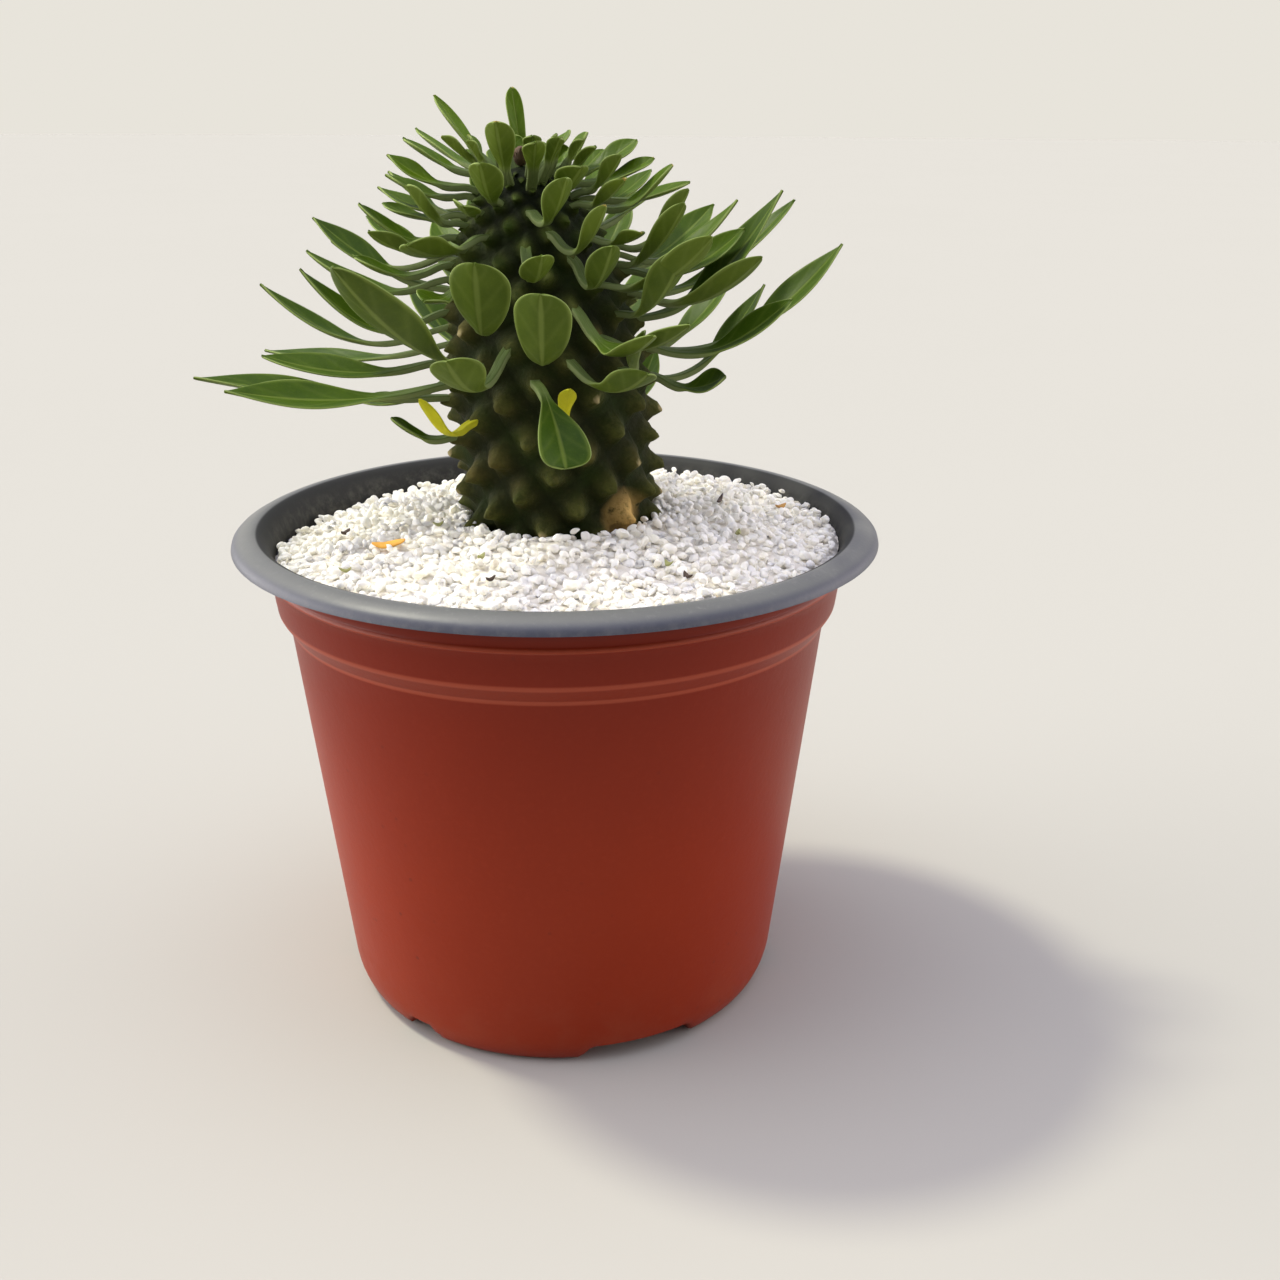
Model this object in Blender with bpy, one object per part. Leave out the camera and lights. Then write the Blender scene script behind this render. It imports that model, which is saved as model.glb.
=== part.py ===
"""A young euphorbia in a thin two-colour nursery pot, with soil, white grit and separate leaves.

The origin is on the pot's axis, in the plane that the pot stands on. +Z is up and -Y is the front.
Blender 4.5: blender --background --python part.py
"""

import math

import bmesh
import bpy
from mathutils import Matrix, Vector

MM = 0.001
GAP = 0.3 * MM  # between pieces that touch
FRONT = math.radians(-90)  # azimuths run anticlockwise from +X, seen from above

# ---------------------------------------------------------------- pot sizes
LIP_HEIGHT = 93.1 * MM  # the pot's whole height
NECK_RADIUS = 54.0 * MM  # under the lip
FOOT_RADIUS = 40.2 * MM
WALL = 0.9 * MM
POT_COLUMNS = 72

CORNER_HEIGHT = 5.0 * MM  # the wall turns in below this
CORNER_STEP = 2.5 * MM  # out from the foot
LIP_OVERHANG = 6.0 * MM  # out from the neck
LIP_CREST = 1.9 * MM  # out from the neck
LIP_FALL = 2.9 * MM  # the outer edge hangs this far below the crest
LIP_EDGE = 0.9 * MM
BEAD_STEP = 0.4 * MM

# Depths below the lip, and steps inwards from the neck, of the bands around the collar.
NECK_DEPTH = 3.1 * MM
BEAD_DEPTH = 7.5 * MM
BEAD_INSET = 0.3 * MM
COLLAR_DEPTH = 14.5 * MM
COLLAR_INSET = 1.3 * MM
LEDGE_DEPTH = 17.3 * MM
LEDGE_INSET = 3.4 * MM

CORNER_RADIUS = FOOT_RADIUS + CORNER_STEP
LIP_RADIUS = NECK_RADIUS + LIP_OVERHANG
NECK_HEIGHT = LIP_HEIGHT - NECK_DEPTH
BEAD_HEIGHT = LIP_HEIGHT - BEAD_DEPTH
BEAD_RADIUS = NECK_RADIUS - BEAD_INSET
COLLAR_HEIGHT = LIP_HEIGHT - COLLAR_DEPTH
COLLAR_RADIUS = NECK_RADIUS - COLLAR_INSET
LEDGE_HEIGHT = LIP_HEIGHT - LEDGE_DEPTH
LEDGE_RADIUS = NECK_RADIUS - LEDGE_INSET

# Channels under the floor let the water out between the feet.
CHANNEL_HEIGHT = 3.8 * MM
CHANNEL_INNER_RADIUS = 22.0 * MM
CHANNEL_RAMP = 5.0 * MM
CHANNEL_REPEATS = 3
# Start and end of each channel's full height, in degrees from the front.
WIDE_CHANNEL = (10, 35)
NARROW_CHANNEL = (-40, -35)
DRAIN_RADIUS = 2.5 * MM
DRAIN_CIRCLE = 31.0 * MM

# ---------------------------------------------------------------- soil and grit sizes
SOIL_DEPTH = 10.1 * MM  # from the lip down to the soil
GRIT_EDGE_DEPTH = 2.7 * MM  # from the lip down to the grit at the wall
GRIT_MOUND = 1.7 * MM  # from the lip up to the grit at the stem
GRIT_FRONT_RISE = 1.2 * MM
GRIT_SLUMP = 3.6 * MM  # the grit has slid away from the wall at the back left
SLUMP_AZIMUTH = math.radians(155)
GRIT_COLUMNS = 48
GRIT_RINGS = 5

SOIL_HEIGHT = LIP_HEIGHT - SOIL_DEPTH
GRIT_EDGE_HEIGHT = LIP_HEIGHT - GRIT_EDGE_DEPTH
GRIT_CENTRE_HEIGHT = LIP_HEIGHT + GRIT_MOUND

# ---------------------------------------------------------------- stem sizes
STEM_X = 0.8 * MM
STEM_LEAN = -6.4 * MM  # the top stands this far along X from the foot
STEM_RADIUS = 19.0 * MM  # over the tubercles, at the belly
STEM_LENGTH = 67.7 * MM  # from its foot in the grit to its top
STEM_BURIED = 6.3 * MM  # the foot's depth in the grit
STEM_BELLY_RISE = 25.5 * MM  # from the foot up to the widest place
STEM_TAPER = 0.8 * MM  # the foot's radius is this much less than the belly's
STEM_CLEARANCE = 0.95 * MM  # around the stem, in the grit
ROOT_RADIUS = 13.0 * MM
ROOT_DEPTH = 17.0 * MM  # into the soil
ROOT_COLLAR = 1.0 * MM  # the root starts this far above the soil

STEM_FOOT = GRIT_CENTRE_HEIGHT - STEM_BURIED
STEM_BELLY = STEM_FOOT + STEM_BELLY_RISE
STEM_TOP = STEM_FOOT + STEM_LENGTH
STEM_FOOT_RADIUS = STEM_RADIUS - STEM_TAPER
ROOT_TOP = SOIL_HEIGHT + ROOT_COLLAR
ROOT_BOTTOM = SOIL_HEIGHT - ROOT_DEPTH

# The tubercles sit on one spiral at the golden angle, so that they line up in 8 rows and in 13.
GOLDEN_ANGLE = math.radians(137.508)
ROWS_A = 8
ROWS_B = 13
SPIRAL_STEP = 0.475 * MM  # up the stem from one tubercle to the next, at the belly
VALLEY_DEPTH = 0.19  # as a share of the radius
CROWN_RADIUS = 4.4 * MM  # the tubercles end here
TIP_WIDTH = 0.24  # of the tubercle's own width
WAIST_WIDTH = 0.62

# ---------------------------------------------------------------- leaf sizes
PETIOLE_WIDTH = 1.7 * MM
PETIOLE_THICKNESS = 1.1 * MM
BLADE_THICKNESS = 0.8 * MM
BLADE_FOLD = 0.16  # rise of each edge over the midrib, as a share of the width
LEAF_STATIONS = 11
LEAF_STANDOFF = 0.7 * MM  # from the tubercle's tip
LEAF_BASE = 0.7  # the petiole's first ring, as a share of its width

BUD_RADIUS = 2.4 * MM
BUD_HEIGHT = 4.2 * MM

# Each leaf: the tubercle that bears it, degrees it turns aside, reach and rise of its tip in mm,
# dip of its middle in mm, blade width in mm, petiole's share of its length, degrees of roll.
LEAVES = (
    (45, 0, 32, 8, 6, 8, 0.35, 0),
    (54, -5, 10, 5, 4, 4.5, 0.25, 5),
    (57, 10, 5, 6, 0.5, 3.2, 0.2, 0),
    (59, 0, 43, 5, 5, 8.5, 0.22, -15),
    (61, 5, 30, 10, 6, 8, 0.35, 0),
    (63, 0, 24, 16, 6, 6.5, 0.45, 0),
    (67, -10, 39, 1, 4, 8.5, 0.25, -20),
    (68, -5, 13, 0, 2.5, 7.5, 0.35, 20),
    (70, 25, 17, -11, -3, 9, 0.35, -10),
    (71, -5, 28, 14, 5, 7.5, 0.35, 0),
    (72, 5, 32, 1, 6, 9, 0.25, -20),
    (75, 5, 33, 19, 4, 9, 0.18, 5),
    (76, 0, 36, 18, 7, 8, 0.45, 10),
    (77, 10, 45, -5, 5, 7, 0.3, -5),
    (78, 30, 18, 0, 4, 9, 0.25, -15),
    (81, 15, 26, 8, 5, 8, 0.4, 20),
    (83, -10, 19, 0, 4, 10, 0.4, 15),
    (85, 0, 36, 6, 7, 6.5, 0.35, 5),
    (87, 10, 26, 12, 5, 7.5, 0.35, 0),
    (89, 0, 24, 22, 5, 8.5, 0.25, 30),
    (91, 0, 15, 7, 5.5, 10, 0.16, -5),
    (93, 0, 24, 7, 7, 7, 0.35, -10),
    (94, -5, 13, 11, 4, 9, 0.2, 0),
    (96, 30, 14, 9, 6, 11, 0.2, -10),
    (97, 5, 33, 16, 5, 7.5, 0.25, 10),
    (99, 15, 21, -4, 4, 9, 0.2, 25),
    (102, 0, 23, 6, 5, 9, 0.3, -30),
    (106, 0, 25, 4, 5, 7, 0.3, -10),
    (113, 5, 18, 9, 4, 6.5, 0.35, 0),
    (115, -5, 14, 10, 4, 7.5, 0.3, 0),
    (118, -5, 25, 8, 6, 6.5, 0.4, 5),
    (119, -5, 26, 0, 4.5, 6, 0.4, 0),
    (120, 5, 11, 1, 2, 7, 0.45, -5),
    (123, 0, 13, 9, 4.5, 7, 0.4, -20),
    (125, 20, 11, -2, 1, 6.5, 0.4, 20),
    (127, 0, 16, 5, 3.5, 5.5, 0.35, -15),
    (130, -5, 17, -1, 2.5, 8, 0.3, 25),
    (133, 40, 12, 3, 2.5, 7, 0.45, -10),
    (135, -5, 9, 6, 2.5, 6, 0.35, 20),
    (137, -5, 14, 8, 3, 5.5, 0.35, 0),
    (144, 0, 14, 7, 3, 5.5, 0.35, 20),
    (146, 30, 12, 4, 2, 6.5, 0.45, 20),
    (149, -5, 10, 4, 2, 7, 0.35, 5),
    (151, 15, 8, 6, 2, 6.5, 0.2, -10),
    (152, 0, 21, 2, 2, 5.5, 0.4, 5),
    (153, 15, 16, 3, 2, 5, 0.35, -10),
    (161, 0, 15, 5, 2, 5, 0.35, -20),
    (163, 20, 6, 16, 0, 4.2, 0.2, 0),
    (172, 5, 5, 9, 0.5, 5.5, 0.15, -5),
    (173, -15, 14, 6, 1.5, 5.5, 0.3, 20),
    (174, 0, 15, 6, 1.5, 5, 0.35, -10),
    (179, 5, 22, 7, 2, 4.5, 0.35, 10),
    (186, 15, 7, 6, 1.5, 5, 0.3, 5),
    (187, -5, 13, 12, 1.5, 5, 0.3, 5),
)

# Leaves that have yellowed with age.
YELLOW_LEAVES = (2, 3)


def material(name, colour, roughness):
    """A plain Principled material."""
    made = bpy.data.materials.new(name)
    made.use_nodes = True
    shader = made.node_tree.nodes["Principled BSDF"]
    shader.inputs["Base Color"].default_value = (*colour, 1.0)
    shader.inputs["Roughness"].default_value = roughness
    shader.inputs["Metallic"].default_value = 0.0
    made.diffuse_color = (*colour, 1.0)
    return made


def add_object(name, points, faces, made, smooth=True):
    """A named mesh object with outward faces, placed in world coordinates."""
    mesh = bpy.data.meshes.new(name)
    mesh.from_pydata([tuple(point) for point in points], [], faces)
    shape = bmesh.new()
    shape.from_mesh(mesh)
    bmesh.ops.recalc_face_normals(shape, faces=shape.faces)
    shape.to_mesh(mesh)
    shape.free()
    for face in mesh.polygons:
        face.use_smooth = smooth
    if made is not None:
        mesh.materials.append(made)
    made_object = bpy.data.objects.new(name, mesh)
    bpy.context.collection.objects.link(made_object)
    return made_object


def split_quad(points, corners):
    """Two triangles from four corners, cut along the higher diagonal so that parallel skins agree."""
    first, second, third, fourth = corners
    if points[first].z + points[third].z >= points[second].z + points[fourth].z:
        return [(first, second, third), (first, third, fourth)]
    return [(second, third, fourth), (second, fourth, first)]


def skin(rings, first_pole, last_pole):
    """Points and faces of a closed skin through rings of equal length, with a point at each end."""
    count = len(rings[0])
    points = [first_pole]
    for ring in rings:
        points.extend(ring)
    points.append(last_pole)
    faces = []
    for place in range(count):
        following = (place + 1) % count
        faces.append((0, 1 + following, 1 + place))
        for row in range(len(rings) - 1):
            low = 1 + row * count
            high = low + count
            corners = (low + place, low + following, high + following, high + place)
            faces.extend(split_quad(points, corners))
        last = 1 + (len(rings) - 1) * count
        faces.append((last + place, last + following, len(points) - 1))
    return points, faces


def loop_skin(rings):
    """Points and faces of a ring-shaped skin: the last ring joins back to the first."""
    count = len(rings[0])
    points = []
    for ring in rings:
        points.extend(ring)
    faces = []
    for row in range(len(rings)):
        low = row * count
        high = ((row + 1) % len(rings)) * count
        for place in range(count):
            following = (place + 1) % count
            faces.append((low + place, low + following, high + following, high + place))
    return points, faces


def polar(radius, azimuth, height, centre_x=0.0):
    """A point from its distance to an upright axis, its azimuth and its height."""
    return Vector((centre_x + radius * math.cos(azimuth), radius * math.sin(azimuth), height))


def azimuths(count):
    """Evenly spaced azimuths that start at the front."""
    return [FRONT + math.tau * place / count for place in range(count)]


# ---------------------------------------------------------------- pot
def channel_share(azimuth):
    """How much of the channel's full height is reached at an azimuth, from 0 to 1."""
    period = 360.0 / CHANNEL_REPEATS
    step = 360.0 / POT_COLUMNS
    turn = math.degrees(azimuth - FRONT)
    share = 0.0
    for start, end in (WIDE_CHANNEL, NARROW_CHANNEL):
        middle = (start + end) / 2
        half = (end - start) / 2
        away = abs((turn - middle + period / 2) % period - period / 2)
        share = max(share, min(1.0, max(0.0, 1.0 - (away - half) / step)))
    return share


def pot_foot_radius(height, inset):
    """Radius of the turned-in corner at a height, moved inwards by an inset."""
    share = min(1.0, height / CORNER_HEIGHT)
    return FOOT_RADIUS + (CORNER_RADIUS - FOOT_RADIUS) * share - inset


def pot_base_rings(inset):
    """Rings of the channelled floor out to the corner, moved inwards by an inset."""
    rings = []
    floor_radii = (
        CHANNEL_INNER_RADIUS,
        CHANNEL_INNER_RADIUS + CHANNEL_RAMP,
        (CHANNEL_INNER_RADIUS + CHANNEL_RAMP + FOOT_RADIUS) / 2,
    )
    for radius in floor_radii:
        ramp = min(1.0, (radius - CHANNEL_INNER_RADIUS) / CHANNEL_RAMP)
        ring = []
        for azimuth in azimuths(POT_COLUMNS):
            ring.append(polar(radius, azimuth, inset + CHANNEL_HEIGHT * channel_share(azimuth) * ramp))
        rings.append(ring)
    foot = []
    for azimuth in azimuths(POT_COLUMNS):
        lift = CHANNEL_HEIGHT * channel_share(azimuth)
        foot.append(polar(pot_foot_radius(lift, inset * 1.25), azimuth, inset + lift))
    rings.append(foot)
    corner_height = CORNER_HEIGHT + inset * 1.5
    rings.append([polar(CORNER_RADIUS - inset, azimuth, corner_height) for azimuth in azimuths(POT_COLUMNS)])
    return rings


def pot_inner_radius(height):
    """Radius of the pot's inner face above the corner."""
    stations = (
        (CORNER_HEIGHT, CORNER_RADIUS),
        (LEDGE_HEIGHT, LEDGE_RADIUS),
        (COLLAR_HEIGHT, COLLAR_RADIUS),
        (BEAD_HEIGHT, BEAD_RADIUS),
        (NECK_HEIGHT, NECK_RADIUS),
    )
    for (low, low_radius), (high, high_radius) in zip(stations, stations[1:]):
        if height <= high:
            share = (height - low) / (high - low)
            return low_radius + (high_radius - low_radius) * share - WALL
    return NECK_RADIUS - WALL


def make_pot(made, cutter):
    outside = (
        (LEDGE_RADIUS, LEDGE_HEIGHT),
        (COLLAR_RADIUS, COLLAR_HEIGHT),
        (BEAD_RADIUS, BEAD_HEIGHT - BEAD_STEP),
        (BEAD_RADIUS + BEAD_STEP, BEAD_HEIGHT),
        (BEAD_RADIUS, BEAD_HEIGHT + BEAD_STEP),
        (NECK_RADIUS, NECK_HEIGHT),
        (NECK_RADIUS + LIP_CREST, LIP_HEIGHT - WALL),
        (LIP_RADIUS - WALL - LIP_EDGE, LIP_HEIGHT - WALL - LIP_EDGE),
        (LIP_RADIUS - WALL, LIP_HEIGHT - LIP_FALL),
        (LIP_RADIUS - WALL / 3, LIP_HEIGHT - LIP_FALL - WALL / 3),
        (LIP_RADIUS, LIP_HEIGHT - LIP_FALL),
        (LIP_RADIUS, LIP_HEIGHT - LIP_EDGE * 2),
        (LIP_RADIUS - LIP_EDGE, LIP_HEIGHT - LIP_EDGE),
        (NECK_RADIUS + LIP_CREST + WALL, LIP_HEIGHT - WALL / 6),
        (NECK_RADIUS + LIP_CREST, LIP_HEIGHT),
        (NECK_RADIUS + LIP_CREST - WALL, LIP_HEIGHT - WALL / 3),
        (NECK_RADIUS - WALL, NECK_HEIGHT),
    )
    rings = pot_base_rings(0.0)
    for radius, height in outside:
        rings.append([polar(radius, azimuth, height) for azimuth in azimuths(POT_COLUMNS)])
    for height in (BEAD_HEIGHT, COLLAR_HEIGHT + WALL / 2, LEDGE_HEIGHT + WALL / 2):
        radius = pot_inner_radius(height)
        rings.append([polar(radius, azimuth, height) for azimuth in azimuths(POT_COLUMNS)])
    rings.extend(reversed(pot_base_rings(WALL)))
    points, faces = skin(rings, Vector((0.0, 0.0, 0.0)), Vector((0.0, 0.0, WALL)))
    pot = add_object("pot", points, faces, made)
    holes = pot.modifiers.new("drain holes", "BOOLEAN")
    holes.operation = "DIFFERENCE"
    holes.solver = "EXACT"
    holes.object = cutter
    return pot


def make_drain_cutter():
    """One upright cylinder through the floor of each wide channel."""
    shape = bmesh.new()
    middle = math.radians(sum(WIDE_CHANNEL) / 2)
    for repeat in range(CHANNEL_REPEATS):
        azimuth = FRONT + middle + math.tau * repeat / CHANNEL_REPEATS
        place = polar(DRAIN_CIRCLE, azimuth, CHANNEL_HEIGHT)
        bmesh.ops.create_cone(
            shape,
            cap_ends=True,
            segments=16,
            radius1=DRAIN_RADIUS,
            radius2=DRAIN_RADIUS,
            depth=CHANNEL_HEIGHT,
            matrix=Matrix.Translation(place),
        )
    mesh = bpy.data.meshes.new("drain_cutter")
    shape.to_mesh(mesh)
    shape.free()
    cutter = bpy.data.objects.new("drain_cutter", mesh)
    bpy.context.collection.objects.link(cutter)
    cutter.hide_render = True
    cutter.display_type = "WIRE"
    return cutter


# ---------------------------------------------------------------- soil and grit
def make_soil(made):
    """The soil fills the pot to a flat top, with a hole that the root stands in."""
    rings = pot_base_rings(WALL + GAP)
    for height in (LEDGE_HEIGHT, COLLAR_HEIGHT + GAP, SOIL_HEIGHT):
        radius = pot_inner_radius(height) - GAP
        rings.append([polar(radius, azimuth, height) for azimuth in azimuths(POT_COLUMNS)])
    hole = ROOT_RADIUS + GAP
    for height in (SOIL_HEIGHT, ROOT_BOTTOM - GAP):
        rings.append([polar(hole, azimuth, height, STEM_X) for azimuth in azimuths(POT_COLUMNS)])
    floor = Vector((0.0, 0.0, WALL + GAP))
    hole_floor = Vector((STEM_X, 0.0, ROOT_BOTTOM - GAP))
    rings.reverse()
    points, faces = skin(rings, hole_floor, floor)
    return add_object("soil", points, faces, made, smooth=False)


def grit_edge_height(azimuth):
    """Height of the grit at the wall: high at the front, slumped at the back left."""
    front = max(0.0, -math.sin(azimuth))
    slump = max(0.0, math.cos(azimuth - SLUMP_AZIMUTH)) ** 2
    return GRIT_EDGE_HEIGHT + GRIT_FRONT_RISE * front - GRIT_SLUMP * slump


def make_grit(made):
    """The top dressing is a closed, mounded ring around the stem."""
    bottom = SOIL_HEIGHT + GAP
    hole = stem_radius(GRIT_CENTRE_HEIGHT) + STEM_CLEARANCE
    turns = azimuths(GRIT_COLUMNS)
    rings = []
    for height in (bottom, BEAD_HEIGHT):
        radius = pot_inner_radius(height) - GAP
        rings.append([polar(radius, azimuth, height) for azimuth in turns])
    for step in range(GRIT_RINGS):
        share = step / (GRIT_RINGS - 1)
        ring = []
        for azimuth in turns:
            edge_height = grit_edge_height(azimuth)
            edge = polar(pot_inner_radius(edge_height) - GAP, azimuth, edge_height)
            inner = polar(hole, azimuth, GRIT_CENTRE_HEIGHT, STEM_X)
            point = edge.lerp(inner, share)
            point.z = edge_height + (GRIT_CENTRE_HEIGHT - edge_height) * share ** 0.7
            ring.append(point)
        rings.append(ring)
    rings.append([polar(hole, azimuth, bottom, STEM_X) for azimuth in turns])
    points, faces = loop_skin(rings)
    return add_object("top_dressing", points, faces, made)


# ---------------------------------------------------------------- stem
def stem_radius(height):
    """Radius over the tubercles at a height."""
    if height < STEM_BELLY:
        share = (STEM_BELLY - height) / (STEM_BELLY - STEM_FOOT)
        return STEM_RADIUS - (STEM_RADIUS - STEM_FOOT_RADIUS) * share**2
    share = min((height - STEM_BELLY) / (STEM_TOP - STEM_BELLY), 0.9999)
    return STEM_RADIUS * math.sqrt(1.0 - share**2)


def stem_slope(height):
    """Change of the stem's radius with height."""
    if height < STEM_BELLY:
        return 0.0
    share = min((height - STEM_BELLY) / (STEM_TOP - STEM_BELLY), 0.9999)
    return -STEM_RADIUS * share / math.sqrt(1.0 - share**2) / (STEM_TOP - STEM_BELLY)


def stem_centre(height):
    """X of the leaning stem's middle at a height."""
    share = max(0.0, (height - STEM_FOOT) / (STEM_TOP - STEM_FOOT))
    return STEM_X + STEM_LEAN * share**1.5


def spiral_step(height):
    """Rise from one tubercle to the next, which shrinks with the stem's radius."""
    return SPIRAL_STEP * stem_radius(height) / STEM_RADIUS / math.hypot(1.0, stem_slope(height))


def tubercle_heights():
    """Heights of the tubercles along the spiral, from the foot to the crown."""
    heights = [STEM_FOOT]
    while stem_radius(heights[-1]) > CROWN_RADIUS:
        height = heights[-1]
        heights.append(height + spiral_step(height))
    return heights


def stem_point(heights, number, turn, depth):
    """A point beside tubercle `number`, which may be a fraction, sunk by a share of the radius."""
    last = len(heights) - 1
    if number < 0:
        height = STEM_FOOT + number * spiral_step(STEM_FOOT)
    elif number >= last:
        height = heights[-1] + (number - last) * (heights[-1] - heights[-2])
    else:
        low = int(number)
        height = heights[low] + (heights[low + 1] - heights[low]) * (number - low)
    height = min(height, STEM_TOP - 0.1 * MM)
    slope = stem_slope(height)
    radius = stem_radius(height)
    length = math.hypot(1.0, slope)
    outward = radius - depth * radius / length
    drop = depth * radius * slope / length
    return polar(outward, turn, height + drop, stem_centre(height))


def make_stem(made, heights):
    """A column of tubercles: each one is a four-sided cell between valleys, drawn out to a tip."""
    rise_a = (ROWS_A * GOLDEN_ANGLE + math.pi) % math.tau - math.pi
    rise_b = (ROWS_B * GOLDEN_ANGLE + math.pi) % math.tau - math.pi
    valley_turn = (rise_a + rise_b) / 2
    valley_number = (ROWS_A + ROWS_B) / 2
    corners = (0, -ROWS_B, -ROWS_A - ROWS_B, -ROWS_A)
    points = []
    valleys = {}
    faces = []
    count = len(heights)
    for number in range(-ROWS_A - ROWS_B, count):
        turn = number * GOLDEN_ANGLE + valley_turn
        valleys[number] = len(points)
        points.append(stem_point(heights, number + valley_number, turn, VALLEY_DEPTH))
    for number in range(count):
        turn = number * GOLDEN_ANGLE
        outer = [valleys[number + corner] for corner in corners]
        tip = stem_point(heights, number, turn, 0.0)
        root = stem_point(heights, number, turn, VALLEY_DEPTH)
        for width, lift in ((WAIST_WIDTH, 0.5), (TIP_WIDTH, 1.0)):
            inner = []
            for corner in outer:
                inner.append(len(points))
                points.append(root + (points[corner] - root) * width + (tip - root) * lift)
            for place in range(4):
                following = (place + 1) % 4
                faces.append((outer[place], outer[following], inner[following], inner[place]))
            outer = inner
        faces.append(tuple(outer))
    rim = {}
    for face in faces:
        for start, end in zip(face, face[1:] + face[:1]):
            if (end, start) in rim:
                del rim[(end, start)]
            else:
                rim[(start, end)] = True
    summit = len(points)
    points.append(Vector((stem_centre(STEM_TOP), 0.0, STEM_TOP)))
    root_middle = len(points)
    points.append(Vector((STEM_X, 0.0, ROOT_BOTTOM)))
    below = {}
    for start, end in rim:
        if points[start].z > STEM_BELLY:
            faces.append((end, start, summit))
            continue
        for corner in (start, end):
            if corner in below:
                continue
            turn = math.atan2(points[corner].y, points[corner].x - STEM_X)
            below[corner] = (len(points), len(points) + 1)
            points.append(polar(ROOT_RADIUS, turn, ROOT_TOP, STEM_X))
            points.append(polar(ROOT_RADIUS, turn, ROOT_BOTTOM, STEM_X))
        faces.append((end, start, below[start][0], below[end][0]))
        faces.append((below[end][0], below[start][0], below[start][1], below[end][1]))
        faces.append((below[end][1], below[start][1], root_middle))
    return add_object("stem", points, faces, made, smooth=False)


def make_bud(made):
    """The dry brown bud that sits on the stem's crown."""
    base = Vector((stem_centre(STEM_TOP), 0.0, STEM_TOP + GAP))
    turns = azimuths(8)
    rings = []
    for radius, height in ((0.6, 0.05), (1.0, 0.35), (0.7, 0.8)):
        ring = []
        for azimuth in turns:
            ring.append(base + polar(radius * BUD_RADIUS, azimuth, height * BUD_HEIGHT))
        rings.append(ring)
    summit = base + Vector((BUD_RADIUS * 0.2, 0.0, BUD_HEIGHT))
    points, faces = skin(rings, base, summit)
    return add_object("crown_bud", points, faces, made)


# ---------------------------------------------------------------- leaves
def leaf_width(share, width, neck, length):
    """Width along a leaf: a strap, then a blade that is blunt when short and pointed when long."""
    slim = min(1.0, max(0.0, (length / width - 1.95) / 1.7))
    widest = 0.76 - 0.20 * slim
    along = (share - neck) / (1.0 - neck)
    if along <= 0.0:
        return PETIOLE_WIDTH
    if along < widest:
        swell = along / widest
        return PETIOLE_WIDTH + (width - PETIOLE_WIDTH) * swell * swell * (3.0 - 2.0 * swell)
    past = (along - widest) / (1.0 - widest)
    return width * (1.0 - past * past) ** (0.5 + 0.55 * slim)


def make_leaf(name, made, heights, row):
    number, aside, reach, rise, dip, width, neck, roll = row
    turn = number * GOLDEN_ANGLE
    base = stem_point(heights, number, turn, -LEAF_STANDOFF / stem_radius(heights[number]))
    heading = turn + math.radians(aside)
    ahead = Vector((math.cos(heading), math.sin(heading), 0.0))
    upward = Vector((0.0, 0.0, 1.0))
    length = math.hypot(reach, rise) * MM
    rings = []
    for station in range(LEAF_STATIONS):
        share = station / LEAF_STATIONS
        sag = dip * 4.0 * share * (1.0 - share)
        middle = base + (ahead * reach * share + upward * (rise * share - sag)) * MM
        along = (ahead * reach + upward * (rise - dip * 4.0 * (1.0 - 2.0 * share))).normalized()
        side = along.cross(upward).normalized()
        side = Matrix.Rotation(math.radians(roll) * min(1.0, share / neck), 3, along) @ side
        normal = side.cross(along)
        blade = leaf_width(share, width * MM, neck, length)
        thickness = PETIOLE_THICKNESS if share <= neck else BLADE_THICKNESS
        if station == 0:
            blade = blade * LEAF_BASE
            thickness = thickness * LEAF_BASE
        fold = normal * blade * BLADE_FOLD if share > neck else Vector((0.0, 0.0, 0.0))
        rings.append(
            [
                middle + side * blade / 2 + fold,
                middle + normal * thickness / 2,
                middle - side * blade / 2 + fold,
                middle - normal * thickness / 2,
            ]
        )
    tip = base + (ahead * reach + upward * rise) * MM
    points, faces = skin(rings, rings[0][0].lerp(rings[0][2], 0.5), tip)
    return add_object(name, points, faces, made)


for leftover in list(bpy.data.objects):
    bpy.data.objects.remove(leftover, do_unlink=True)

terracotta = material("terracotta_plastic", (0.27, 0.045, 0.015), 0.45)
earth = material("potting_soil", (0.035, 0.022, 0.014), 0.95)
white_grit = material("white_grit", (0.78, 0.75, 0.66), 0.85)
bark = material("stem_skin", (0.045, 0.075, 0.02), 0.6)
dry_bud = material("dry_bud", (0.10, 0.05, 0.025), 0.8)
green_leaf = material("green_leaf", (0.07, 0.16, 0.03), 0.5)
yellow_leaf = material("yellow_leaf", (0.55, 0.45, 0.05), 0.55)

drain_cutter = make_drain_cutter()
make_pot(terracotta, drain_cutter)
make_soil(earth)
make_grit(white_grit)
spiral = tubercle_heights()
make_stem(bark, spiral)
make_bud(dry_bud)
for place, leaf_row in enumerate(LEAVES):
    leaf_name = "leaf_%02d" % (place + 1)
    leaf_made = yellow_leaf if place + 1 in YELLOW_LEAVES else green_leaf
    make_leaf(leaf_name, leaf_made, spiral, leaf_row)
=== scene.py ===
"""A young euphorbia in a thin two-colour nursery pot: the looks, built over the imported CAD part.

Lengths are in metres, +Z is up and the front faces -Y. The pot's axis is the Z axis.
"""

import math
import random

import bpy
from mathutils import Matrix, Vector, kdtree, noise


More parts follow.
